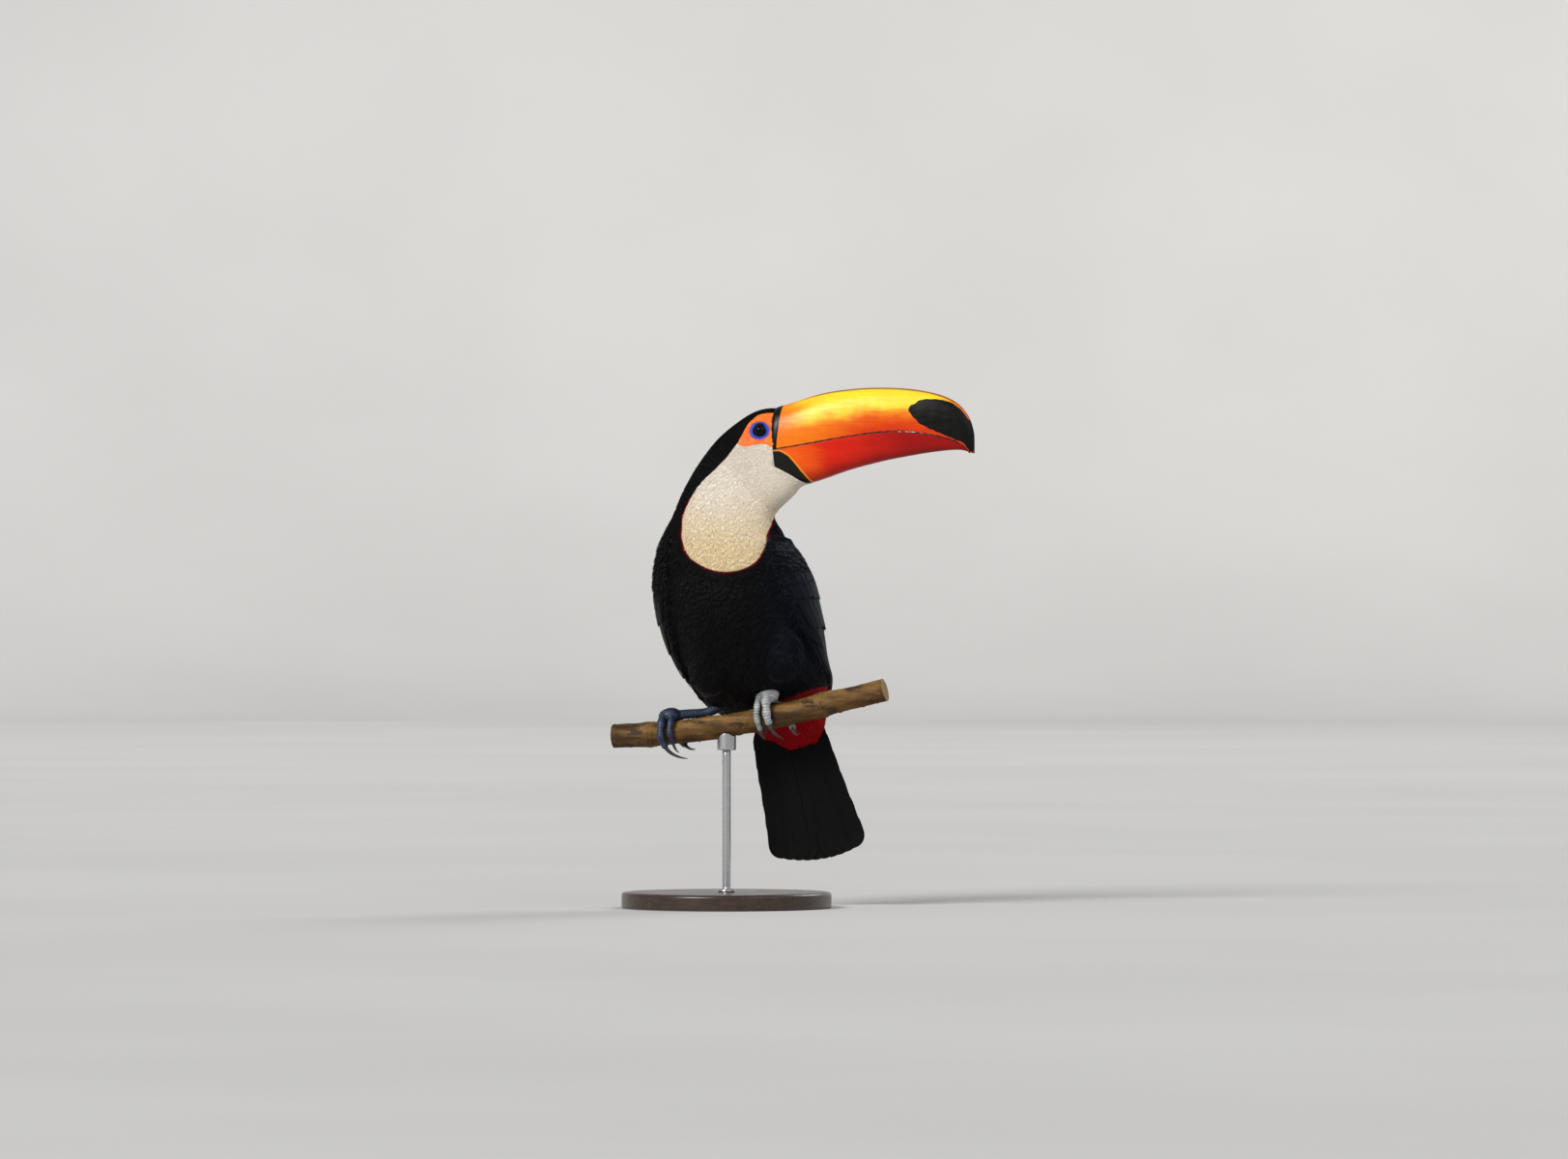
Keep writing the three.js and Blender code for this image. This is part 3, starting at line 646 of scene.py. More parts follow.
@dataclass
class BirdForm:
    """The one surface of head, neck and trunk with the folded wings, and the skin below it."""

    columns: int = 256
    rows_per_section: tuple[tuple[int, int, int], ...] = ((0, 4, 28), (4, 9, 18), (9, LAST, 16))
    wings: tuple[WingPlan, WingPlan] = (WingPlan(Side.LEFT, 8.75), WingPlan(Side.RIGHT, 7.9))

    def __post_init__(self) -> None:
        """Samples the surface, its markings and the skin."""
        parts = [np.linspace(a, b, (b - a) * n, endpoint=False) for a, b, n in self.rows_per_section]
        self.row_places = np.concatenate([*parts, [float(LAST)]])
        around = 360.0 * np.arange(self.columns) / self.columns
        self.at, self.degrees = np.meshgrid(self.row_places, around, indexing="ij")
        grow = sum(wing.thickness(self.at, self.degrees) for wing in self.wings)
        grow += np.interp(self.at, *np.array(SHOULDER_FLUFF).T) * bell(half_turned(self.degrees + 10), 0, 26)
        self.outer = Surface(self.surface_points(grow + self.thigh_swell(self.surface_points(grow))))
        self.marks = Markings(self)
        self.depths = self.depth()[..., None]
        self.skin = Surface(self.outer.points - self.outer.normals * self.depths)

    def thigh_swell(self, points: Array) -> Array:
        """How far the plumage bulges over the tops of the thighs, clear of the wings.

        Args:
            points: the surface without the bulges.

        Returns:
            The distance at each of its points.
        """
        swell = np.zeros(self.at.shape)
        for thigh in THIGHS:
            share = np.linspace(0, 0.72, 16)
            centres, radii = Strand(thigh.line).at(share), np.interp(share * 2, (0, 1, 2), thigh.radii)
            gap = np.min([np.linalg.norm(points - c, axis=-1) - r for c, r in zip(centres, radii)], axis=0)
            swell = np.maximum(swell, 0.5 * (1.2 - gap + np.sqrt((gap - 1.2) ** 2 + 16)) - 0.5)
        for wing in self.wings:
            down, share = wing.own_place(self.at, self.degrees)
            swell = swell * (1 - ease(-0.12, -0.01, share) * ease(1.0, 0.97, down))
        return np.clip(swell, 0, 14) * ease(8.5, 10, self.at)

    def surface_points(self, grow: Array) -> Array:
        """The points of the whole grid.

        Args:
            grow: how far outwards each is moved from the plain sections.

        Returns:
            The points, rows by columns.
        """
        top, low, (y, head_half) = HEAD_AND_NECK[:, :2], HEAD_AND_NECK[:, 2:4], HEAD_AND_NECK[:, 4:].T
        height, shift, half, breast, back = TRUNK.T
        upper = np.insert((top + low) / 2, 1, y, axis=1)
        centres = np.vstack([upper, on_trunk(shift, (breast + back) / 2, height)])
        across = np.vstack([np.insert((low - top) / 2, 1, 0, axis=1), half[:, None] * TRUNK_ACROSS])
        deep = np.concatenate([head_half, (back - breast) / 2])[:, None]
        centre, wide, depth = (curve_through(a, self.row_places)[:, None] for a in (centres, across, deep))
        angle, grow = np.radians(self.degrees)[..., None], grow[..., None]
        length = np.linalg.norm(wide, axis=-1, keepdims=True)
        return centre + unit(wide) * (length + grow) * np.cos(angle) + FRONT * (depth + grow) * np.sin(angle)

    def depth(self) -> Array:
        """How far the skin lies below the tips of the plumage.

        Returns:
            The depth at each point of the grid.
        """
        at, marks = self.at, self.marks
        plain = np.interp(at, (0, 2, 4, 7, 9, 12, LAST - 1, LAST), (0.8, 0.9, 1.3, 2.2, 2.8, 3.2, 3.2, 2.2))
        for wing in self.wings:
            down, share = wing.own_place(at, self.degrees)
            across = ease(0.0, 0.06, share) * ease(0.0, 0.04, 1 - share)
            plain = mix(plain, 4.4, across * ease(0, 0.04, down) * ease(0, 0.05, 1 - down))
        plain = plain * mix(1.0, 0.6, ease(-3, 5, marks.white) * ease(3.2, 5, at))
        tucked, orbit = ease(-0.4, 2.5, marks.ahead_of_face), ease(-0.5, 1.5, marks.bare_face)
        return plain + 4.5 * tucked + 1.6 * orbit + 6 * ease(9.0, 6.5, marks.from_eye)

    def row_of(self, at: Array) -> Array:
        """The grid's row at a section number, which may run past the last."""
        row = np.interp(at, self.row_places, np.arange(len(self.row_places)))
        return row + np.maximum(at - LAST, 0) * self.rows_per_section[-1][2]

    def find_on_face(self, x: Array, z: Array, start: Pair) -> tuple[Array, Array]:
        """Where on the grid the side of the head passes given places of its side view.

        Args:
            x: how far forward.
            z: how high.
            start: a row and column near by.

        Returns:
            The rows and columns.
        """
        rows, columns = np.full(x.shape, float(start[0])), np.full(x.shape, float(start[1]))
        step = 0.5
        for _ in range(14):
            here = self.outer.place(rows, columns)
            down = self.outer.place(rows + step, columns) - here
            beside = self.outer.place(rows, columns + step) - here
            off_x, off_z = x - here[..., 0], z - here[..., 2]
            scale = down[..., 0] * beside[..., 2] - down[..., 2] * beside[..., 0]
            rows = rows + 0.8 * step * (off_x * beside[..., 2] - off_z * beside[..., 0]) / scale
            columns = columns + 0.8 * step * (off_z * down[..., 0] - off_x * down[..., 2]) / scale
        return rows, columns


@dataclass(frozen=True)
class EyePlace:
    """Where the eyes are, and the sizes of what lies round them."""

    x: float = 41.0
    z: float = 454.2
    spread: float = 13.2
    radius: float = 7.4
    opening: float = 5.7
    ring: float = 9.2


EYE = EyePlace()
# The bare skin round the eye, as its reach from the eye's middle at angles from forward round over the top.
BARE_REACH = ((-180, 15), (-165, 17.7), (-149, 24), (-143, 22.4), (-135, 20.4), (-113, 14.2), (-90, 12.4),
              (-72, 12.4), (-60, 14.5), (-54, 18.5), (-46, 20), (-30, 16), (0, 14.6), (20, 14.4), (40, 17.6),
              (54, 20.6), (65, 18), (94, 15.2), (128, 13), (150, 13.2), (180, 15))
# The white bib: at each height, how far round it reaches either way from its middle line, and where that is.
BIB = ((311, -20, 81.5), (318.8, -3, 81.5), (320.9, 5.7, 81.4), (322.6, 14.1, 81.7), (325.7, 22.8, 81.2),
       (328, 28, 81.6), (333.3, 36.1, 82.5), (341.8, 44.6, 82.2), (351.7, 51.4, 80.1), (361.7, 59.3, 76.1),
       (368.7, 64.5, 75), (373, 71, 70.5), (378, 85, 58), (383, 99, 45), (390, 112, 33), (402, 125, 20),
       (414, 131, 8), (480, 130, -3))
CAP_LINE = np.array([[64, 449], [28, 449], [19.9, 443], [9.9, 429.1], [-1.4, 417.4], [-14.7, 406.2],
                     [-25.8, 389.9], [-34, 375]])
BAND_FRONT = np.array([[61.8, 488], [60.8, 470], [59.8, 455], [58.7, 445], [57.9, 430]])
# The sine of the angle round the body where the red vent meets the white rump, how high up the trunk's axis
# the vent starts, and how far its front edge leans, in radians.
RUMP_EDGE = -0.55
VENT_START = -79
VENT_LEAN = 0.3665
# Section numbers where the orbits, the face's feathers and the neck's end, and where the vent's may start.
ORBIT_END = 4.5
FACE_END = 4.2
NECK_END = 9.3
VENT_FROM = 13


def share_inside(distance: Array) -> Array:
    """A marking's edge as a soft share, 0.5 on the edge itself, which its finish sharpens again."""
    return np.clip(0.5 + distance / 3, 0, 1)


class Markings:
    """The plumage's colours over the bird's grid, each a distance in millimetres inside its own area."""

    def __init__(self, form: BirdForm) -> None:
        """Works out every area on the grid.

        Args:
            form: the bird, its outer surface sampled.
        """
        points, at = form.outer.points, form.at
        side_view = points[..., [0, 2]]
        self.ahead_of_face = np.where(at < 5.2, offset_from(side_view, BILL_BASE), -20.0)
        out = side_view - (EYE.x, EYE.z)
        reach = np.interp(np.degrees(np.arctan2(out[..., 1], out[..., 0])), *np.array(BARE_REACH).T)
        self.from_eye = np.where(at < ORBIT_END, np.linalg.norm(out, axis=-1), 99.0)
        self.bare_face = np.where(at < ORBIT_END, reach - self.from_eye, -20.0)
        self.white = self.bib(form.outer, side_view)
        upwards = (-math.sin(VENT_LEAN), 0, math.cos(VENT_LEAN))
        self.behind_vent = (on_trunk(0, 0, VENT_START) - points) @ upwards
        front = np.sin(np.radians(form.degrees)) > RUMP_EDGE
        bare_of_wing = 1.0
        for wing in form.wings:
            down, share = wing.own_place(at, form.degrees)
            on_it = ease(-0.02, 0.02, share) * ease(-0.02, 0.02, 1 - share)
            bare_of_wing = bare_of_wing * (1 - on_it * ease(1.012, 0.995, down))
        rump = share_inside(self.behind_vent + 5) * ~front * bare_of_wing
        vent = share_inside(self.behind_vent) * bare_of_wing
        band = share_inside(0.9 * ease(402, 384, points[..., 2]) - np.abs(self.white + 0.9))
        white, red = np.maximum(share_inside(self.white), rump), np.maximum(band, vent * front)
        self.inks = np.stack([white, red], axis=-1)

    @staticmethod
    def bib(surface: Surface, side_view: Array) -> Array:
        """How far inside the white bib each point of the grid is.

        Args:
            surface: the bird's outer surface.
            side_view: its points' x and z.

        Returns:
            The distance, below 0 outside.
        """
        height, half, middle = np.array(BIB).T
        x, y, z = np.moveaxis(surface.points, -1, 0)
        axis_x = np.interp(z, (300, 355, 375, 400, 430, 470), (10, 3, 6, 14, 30, 48))
        axis_y = np.interp(z, (300, 355, 375, 400, 430, 470), (-4, -6.5, -9, -12, -14, -14))
        round_it = np.degrees(np.arctan2(axis_y - y, x - axis_x))
        away = np.abs(half_turned(round_it - np.interp(z, height, middle)))
        inside = np.interp(z, height, half) - away
        down_slope = np.gradient(inside, axis=0) / surface.paces[..., 0]
        side_slope = (np.roll(inside, -1, 1) - np.roll(inside, 1, 1)) / 2 / surface.paces[..., 1]
        steep = np.clip(np.hypot(down_slope, side_slope), 0.35, 4.0)
        hem = z - 320.7 - 0.00966 * away**2
        low = mix(hem, np.clip(inside / steep, -30, 30), ease(328, 336, z))
        cap = offset_from(side_view, CAP_LINE)
        far = soft_least(low + 1.2 * np.maximum(z - 402, 0), cap, 26)
        return mix(mix(low, cap, ease(396, 414, z)), far, ease(-12, 6, y))


# ------------------------------------------------------------------ feathers


@dataclass(frozen=True)
class Vane:
    """A feather or tuft's pattern: shares along it, places across it in half widths, heights, and faces."""

    along: Array
    across: Array
    rise: Array
    faces: Faces

    @staticmethod
    def blades(count: int, rng: Random) -> "Vane":
        """A tuft of narrow pointed blades, three-sided, spreading a little.

        Args:
            count: how many blades.
            rng: the source of chance.

        Returns:
            The pattern.
        """
        parts = []
        for i in range(count):
            root = 0.7 * ((i + 0.5) / count * 2 - 1)
            tip = 1.5 * root + rng.uniform(-0.25, 0.25)
            shares = np.array([0.0, 0.5, 0.85, 1.0])
            halves = np.array([0.32, 0.42, 0.26, 0.03])
            end = rng.uniform(0.78, 1.0)
            across = mix(root, tip, shares**1.3)[:, None] + halves[:, None] * (-1, 0, 1)
            rise = np.outer((1, 1, 0.8, 0.3), (0, 1, 0)).ravel()
            branch = np.stack([np.repeat(shares * end, 3), across.ravel(), rise], axis=-1)
            parts.append((branch, tube_faces(4, 3)))
        points, faces = merged(parts)
        return Vane(*points.T, faces)

    @staticmethod
    def quill(stations: int, half: int, tip: float, skew: float, rng: Random) -> "Vane":
        """A large feather with a raised shaft, two cambered webs and a thin underside.

        Args:
            stations: how many rings along it.
            half: how many columns each web has.
            tip: the share of its length where its end begins to round.
            skew: how far the shaft lies off the middle, in half widths.
            rng: the source of chance.

        Returns:
            The pattern.
        """
        rounded = tip + (1 - tip) * np.sin(np.linspace(0, math.pi / 2, 9))
        shares = np.concatenate([np.linspace(0, tip, stations, endpoint=False), rounded])[:, None]
        grown = ease(-0.02, 0.16, shares) * 0.86 + 0.14
        ended = np.sqrt(np.clip(1 - ((shares - tip) / (1 - tip)).clip(0, 1) ** 2.2, 0.0008, 1))
        width = grown * ended * (1 + 0.03 * np.sin(shares * 9 + rng.uniform(0, 6)))
        web = np.concatenate([np.linspace(-1, -0.09, half), [0.0], np.linspace(0.09, 1, half)])
        ring = np.concatenate([web, web[::-1][1:-1]])
        top = np.concatenate([np.where(np.abs(web) < 0.05, 1.3, 0.55), np.zeros(len(web) - 2)])
        top[[0, len(web) - 1]] = 0.2
        across = width * ring + skew * (1 - np.abs(ring)) * ease(0.05, 0.4, shares)
        edge = np.abs(ring) ** 3 * 0.014 * ease(tip + 0.03, tip - 0.08, shares)
        ragged = edge * np.sin(np.cumsum(rng.uniform(0, 2.4, size=shares.shape), axis=0) + ring)
        rise = top * (1 - 0.55 * shares) - 0.55 * np.abs(ring) ** 1.8
        shape = (shares - ragged, across + ragged * 2.0, rise)
        return Vane(*(values.ravel() for values in shape), tube_faces(len(shares), len(ring)))


@dataclass
class Coat:
    """Feathers of one kind being laid on a surface, gathered into one piece.

    Each has its own patch of the bake map, at its root's place, or its own strip where there are only a few.
    """

    surface: Surface
    inks: Array | None = None
    strips: bool = False
    laid: int = 0
    parts: list[Shape] = field(default_factory=list)
    kept: dict[str, list[Array]] = field(default_factory=dict)

    def lay(self, spines: Spines, vane: Vane, half: Array, thick: Array, low: Array, high: Array,
            shade: Array) -> None:
        """Lays one pattern along many lines.

        Args:
            spines: the feathers' middle lines.
            vane: their pattern.
            half: each one's half width.
            thick: each one's thickness.
            low: how far its root lies above the skin.
            high: how far its tip lies above the skin.
            shade: each one's own tone, from 0 to 1.
        """
        skin, count, size = self.surface, len(spines.rows), len(vane.along)
        if count == 0:
            return
        half, thick, low, high, shade = (np.broadcast_to(a, count)[:, None]
                                         for a in (half, thick, low, high, shade))
        rows, columns = spines.at(vane.along)
        ahead = np.minimum(vane.along + 0.08, 1.0)
        (next_rows, next_columns), (last_rows, last_columns) = spines.at(ahead), spines.at(ahead - 0.08)
        down, across = skin.pace(rows, columns)
        turn = np.arctan2((next_columns - last_columns) * across, (next_rows - last_rows) * down)
        out = vane.across * half
        rows, columns = rows - np.sin(turn) * out / down, columns + np.cos(turn) * out / across
        height = mix(low, high, vane.along.clip(0, 1) ** 0.85) + vane.rise * thick
        points = skin.place(rows, columns) + unit(skin.read(skin.normals, rows, columns)) * height[..., None]
        starts = (np.arange(count) * size)[:, None, None]
        faces = [(f[None] + starts).reshape(-1, f.shape[1]) for f in vane.faces]
        self.parts.append((points.reshape(-1, 3), faces))
        root, tip = ((spines.rows[:, k], spines.columns[:, k]) for k in (0, -1))
        span = np.linalg.norm(skin.place(*tip) - skin.place(*root), axis=-1)[:, None]
        full = np.zeros((count, size))
        home = np.stack([root[1] / skin.columns % 1, root[0] / skin.rows], axis=-1)
        given = {
            "along": full + vane.along, "across": full + np.abs(vane.across), "shade": full + shade,
            "number": full + self.laid + np.arange(count)[:, None],
            "vane": np.stack([out, vane.along * span], axis=-1) / 10,
            "home": full[..., None] + home[:, None],
            "patch": np.stack([full + vane.across.clip(-1.5, 1.5) / 3, full + vane.along - 0.5], axis=-1),
        }
        if self.inks is not None:
            inks = skin.read(self.inks, rows, columns)
            given |= {"white": inks[..., 0], "red": inks[..., 1]}
        for name, values in given.items():
            self.kept.setdefault(name, []).append(values.reshape(count * size, -1))
        self.laid += count

    def piece(self, name: str) -> Piece:
        """Gathers the feathers, their bake map spread over the whole square.

        Args:
            name: the piece's name.

        Returns:
            The feathers as one piece.
        """
        points, faces = merged(self.parts)
        masks = {key: np.vstack(values) for key, values in self.kept.items()}
        home, patch, number, vane = (masks.pop(key) for key in ("home", "patch", "number", "vane"))
        if self.strips:
            bake = np.hstack([(number + 0.5 + 0.9 * patch[:, :1]) / self.laid, 0.5 + 0.94 * patch[:, 1:]])
        else:
            low, high = home.min(axis=0), home.max(axis=0)
            bake = 0.01 + 0.98 * (home - low) / np.maximum(high - low, 1e-6) + PATCH * patch
        return Piece(name, points, outwards(points, faces), masks, {"OFBake": bake, "vane": vane})


@dataclass(frozen=True)
class CoatZone:
    """An area of plumage: how close its feathers are, their kind and size, and how uneven their tips are."""

    name: str
    spacing: float
    blades: int
    lengths: Pairs
    half: float
    thick: float
    colour_at: float = 0.7
    turn: float = 0.1
    uneven: float = 1.0


ZONES = (
    CoatZone("face", 1.12, 2, ((0, 3.0), (2, 4.0), (4.4, 6.0)), 0.72, 0.16, uneven=0.25),
    CoatZone("neck", 2.0, 3, ((3, 6.0), (6, 8.0), (12, 9.5)), 1.35, 0.2, 0.75),
    CoatZone("bib", 1.6, 3, ((3, 6), (6, 8.5), (12, 10)), 1.3, 0.13, 0.75, uneven=0.25),
    CoatZone("breast", 2.55, 4, ((8, 10), (11, 13), (16, 15)), 2.3, 0.2),
    CoatZone("belly", 2.7, 4, ((12, 14), (16, 16), (19, 13)), 2.5, 0.2),
    CoatZone("back", 2.7, 5, ((8, 10), (11, 13), (16, 16), (19, 14)), 2.5, 0.2),
    CoatZone("shoulder", 2.75, 4, ((8, 9), (11, 12)), 2.5, 0.2, 0.7, 0.08),
    CoatZone("vent", 2.5, 3, ((14, 15), (17, 19), (19, 16)), 2.1, 0.26, 0.6, 0.16),
)


@dataclass
class Plumage:
    """The small feathers of head, neck, body, shoulders and vent."""

    form: BirdForm
    coats: dict[str, Coat] = field(default_factory=dict)
    kinds: int = 5
    fewest: int = 8
    seed: int = 7

    def areas(self) -> Masks:
        """Where on the grid each zone's feathers are rooted.

        Returns:
            Each zone's area, by its name.
        """
        at, degrees, marks = self.form.at, self.form.degrees, self.form.marks
        shoulder, quills = np.zeros((2, *at.shape), dtype=bool)
        for wing in self.form.wings:
            down, share = wing.own_place(at, degrees)
            on_it = (share > -0.01) & (share < 1.03)
            shoulder |= on_it & (down > -0.03) & (down < 0.27)
            quills |= on_it & (down >= 0.27) & (down < 0.99) & (share > 0.055) & (share < 0.965)
        head = (marks.ahead_of_face < 0.5) & (marks.bare_face < -0.2) & (at < FACE_END)
        vent = (marks.behind_vent > -3) & ~quills & ~shoulder & (at > VENT_FROM)
        bib = (at >= FACE_END) & (marks.white > -1.5) & ~shoulder
        neck = (at >= FACE_END) & ((at < NECK_END) | (marks.white > -7)) & ~(bib | shoulder | vent)
        body = ~(head | neck | bib | shoulder | quills | vent) & (at > 9)
        front = np.sin(np.radians(degrees)) > 0.1
        high = at < VENT_FROM
        return {"face": head, "neck": neck, "bib": bib, "breast": body & front & high,
                "belly": body & front & ~high, "back": body & ~front, "shoulder": shoulder, "vent": vent}

    def grow(self, zone: CoatZone, area: Array, rng: Random) -> None:
        """Lays one zone's feathers.

        Args:
            zone: their kind and size.
            area: where they are rooted.
            rng: the source of chance.
        """
        form, skin = self.form, self.form.skin
        rows, columns = skin.scatter(zone.spacing, area.astype(float), rng)
        count = len(rows)
        at = np.interp(rows, np.arange(skin.rows), form.row_places)
        length = np.interp(at, *np.array(zone.lengths).T) * rng.uniform(0.85, 1.12, count)
        length = np.minimum(length, skin.room(rows, columns) + 2)
        heading = rng.normal(0, zone.turn, count)
        spines = skin.run(rows, columns, heading, length, rng.normal(0, zone.turn, count))
        half = zone.half * rng.uniform(0.85, 1.15, count) * np.interp(at, (0, 3, 6), (0.75, 0.95, 1.0))
        white, red = (skin.read(form.marks.inks, *spines.at(np.array([zone.colour_at]))) > 0.5)[:, 0].T
        kind, shade = rng.integers(0, self.kinds, count), rng.random(count)
        lift = mix(0.78, rng.uniform(0.62, 0.9, count), zone.uneven)
        top = skin.read(form.depths, rows, columns)[..., 0] * lift - zone.thick
        for variant in range(self.kinds):
            vane = Vane.blades(zone.blades, rng)
            for plume, inked in zip(Plume, (~(white | red), white, red & ~white)):
                mine = (kind == variant) & inked
                coat = self.coats.setdefault(f"{zone.name}_{plume.value}", Coat(skin, form.marks.inks))
                coat.lay(spines.kept(mine), vane, half[mine], zone.thick, -0.25, top[mine], shade[mine])

    def build(self, finish: Material) -> None:
        """Makes every zone's pieces, leaving out a colour of only a few feathers.

        Args:
            finish: the plumage's material.
        """
        rng = np.random.default_rng(self.seed)
        areas = self.areas()
        for zone in ZONES:
            self.grow(zone, areas[zone.name], rng)
        for name, coat in self.coats.items():
            if coat.laid >= self.fewest:
                coat.piece(f"feathers_{name}").settle([finish], f"plumage_{name.split('_')[1]}")


@dataclass(frozen=True)
class FeatherRow:
    """A row of large feathers on the wing. Pairs are for its first and its last feather, front to back."""

    name: str
    count: int
    root_down: Pair
    root_share: Pair
    tip_down: Pair
    tip_share: Pair
    half: Pair
    low: Pair
    high: Pair
    thick: float = 0.45
    tip: float = 0.82
    stations: int = 14


FLIGHT_ROWS = (
    FeatherRow("primaries", 8, (0.52, 0.5), (0.07, 0.13), (0.93, 0.9), (0.12, 0.42), (6.2, 7.4), (-0.2, 0.2),
               (0.3, 1.3), 0.5, 0.86, 22),
    FeatherRow("secondaries", 11, (0.46, 0.42), (0.14, 0.82), (0.83, 0.97), (0.2, 0.86), (8.6, 9.4),
               (0.0, 0.9), (1.5, 2.6), 0.5, 0.86, 22),
    FeatherRow("tertials", 4, (0.36, 0.32), (0.68, 0.88), (0.66, 0.86), (0.66, 0.86), (11, 12.5), (1.0, 1.4),
               (2.6, 3.1), 0.5, 0.76, 18),
)
COVERT_ROWS = (
    FeatherRow("primary_coverts", 7, (0.37, 0.36), (0.065, 0.15), (0.55, 0.6), (0.075, 0.17), (3.8, 4.6),
               (0.6, 0.9), (1.6, 2.3)),
    FeatherRow("greater_coverts", 14, (0.28, 0.26), (0.12, 0.92), (0.49, 0.52), (0.14, 0.9), (6.6, 7.4),
               (1.2, 1.9), (3.0, 3.5), 0.45, 0.8),
    FeatherRow("alula", 3, (0.23, 0.22), (0.06, 0.09), (0.38, 0.36), (0.065, 0.1), (3.4, 3.8), (1.2, 1.6),
               (2.2, 2.8)),
    FeatherRow("median_coverts", 16, (0.2, 0.19), (0.09, 0.94), (0.35, 0.365), (0.1, 0.92), (5.6, 6.2),
               (2.0, 2.4), (3.4, 3.8), 0.4, 0.78),
)


@dataclass
class WingFeathers:
    """The large feathers of one folded wing."""

    form: BirdForm
    plan: WingPlan
    seed: int = 21

    def lay_row(self, coat: Coat, row: FeatherRow, rng: Random) -> None:
        """Lays one row.

        Args:
            coat: where the feathers gather.
            row: the row's sizes.
            rng: the source of chance.
        """
        order, along = np.linspace(0, 1, row.count)[:, None], np.linspace(0, 1, 16)
        slip = rng.normal(0, 0.006, row.count)[:, None]
        down = mix(mix(*row.root_down, order), mix(*row.tip_down, order) + slip, along)
        share = mix(mix(*row.root_share, order), mix(*row.tip_share, order), along ** 1.2)
        at, degrees = self.plan.on_body(down, share)
        spines = Spines(self.form.row_of(at), degrees / 360 * self.form.columns)
        for i, place in enumerate(order[:, 0]):
            vane = Vane.quill(row.stations, 5, row.tip, 0.22 * self.plan.side.value, rng)
            half, low, high = (np.array([mix(*pair, place)]) for pair in (row.half, row.low, row.high))
            coat.lay(spines.kept(slice(i, i + 1)), vane, half, row.thick, low, high, rng.random(1))

    def build(self, finish: Material) -> None:
        """Makes the wing's two pieces.

        Args:
            finish: the plumage's material.
        """
        side = self.plan.side
        rng = np.random.default_rng(self.seed + side.value)
        for kind, rows in (("flight_feathers", FLIGHT_ROWS), ("wing_coverts", COVERT_ROWS)):
            coat = Coat(self.form.skin, strips=True)
            for row in rows:
                self.lay_row(coat, row, rng)
            name = side.label
            coat.piece(f"{kind}_{name}").settle([finish], "plumage_black", f"wing_{name}")


@dataclass
class Tail:
    """Ten tail feathers, fanned a little and overlapping like tiles, the outermost in front."""

    feathers: int = 10
    root_height: float = -92
    length: float = 138
    root_half: float = 11
    tip_half: float = 12.6
    y: float = 57
    fan: float = 0.1
    roll: float = 0.1
    pitch: float = 0.05
    spread: float = 23
    seed: int = 5

    def build(self, finish: Material) -> None:
        """Makes the tail.

        Args:
            finish: the plumage's material.
        """
        rng = np.random.default_rng(self.seed)
        parts, kept = [], {"along": [], "across": [], "shade": [], "OFBake": [], "vane": []}
        for i in range(self.feathers):
            place = 2 * i / (self.feathers - 1) - 1
            reach = self.length - 5.5 * place**2 + 3.5 * place
            vane = Vane.quill(30, 7, 0.9, 0.0 if abs(place) < 0.2 else -0.3 * np.sign(place), rng)
            out = vane.across * mix(self.root_half, self.tip_half, vane.along.clip(0, 1))
            flat = np.stack([out, -0.42 * vane.rise - 0.25, 8 - vane.along * (reach + 8)], axis=-1)
            turns = ((-LEAN - place * self.fan, "Y"), (self.pitch, "X"), (-place * self.roll, "Z"))
            fanned, pitched, rolled = (Matrix.Rotation(angle, 3, axis) for angle, axis in turns)
            root = on_trunk(4 + place * self.spread, self.y - 3.6 * abs(place), self.root_height)
            parts.append((flat @ np.array(fanned @ pitched @ rolled).T + root, vane.faces))
            strip = (i + 0.5 + 0.42 * vane.across.clip(-1, 1)) / self.feathers
            strip, flat = (np.stack(pair, axis=-1) for pair in (
                (strip, 0.02 + 0.95 * vane.along), (out / 10, vane.along * reach / 10)))
            tone = np.full(len(out), rng.random())
            for name, values in zip(kept, (vane.along, np.abs(vane.across), tone, strip, flat)):
                kept[name].append(values)
        points, faces = merged(parts)
        masks = {name: np.concatenate(values) for name, values in kept.items()}
        maps = {name: masks.pop(name) for name in ("OFBake", "vane")}
        piece = Piece("tail_feathers", points, outwards(points, faces), masks, maps)
        piece.settle([finish], "plumage_black", "tail")


# ------------------------------------------------------------------ bill and eyes


def outline_at(points: Pairs, x: Array) -> Array:
    """A smooth outline's height, held level past its farthest point.

    Args:
        points: the outline's places and heights.
        x: the places that are wanted.

    Returns:
        The height at each place.
    """
    fine = fine_curve(points, 600)
    end = int(np.argmax(fine[:, 0])) + 1
    return np.interp(x, fine[:end, 0], fine[:end, 1])


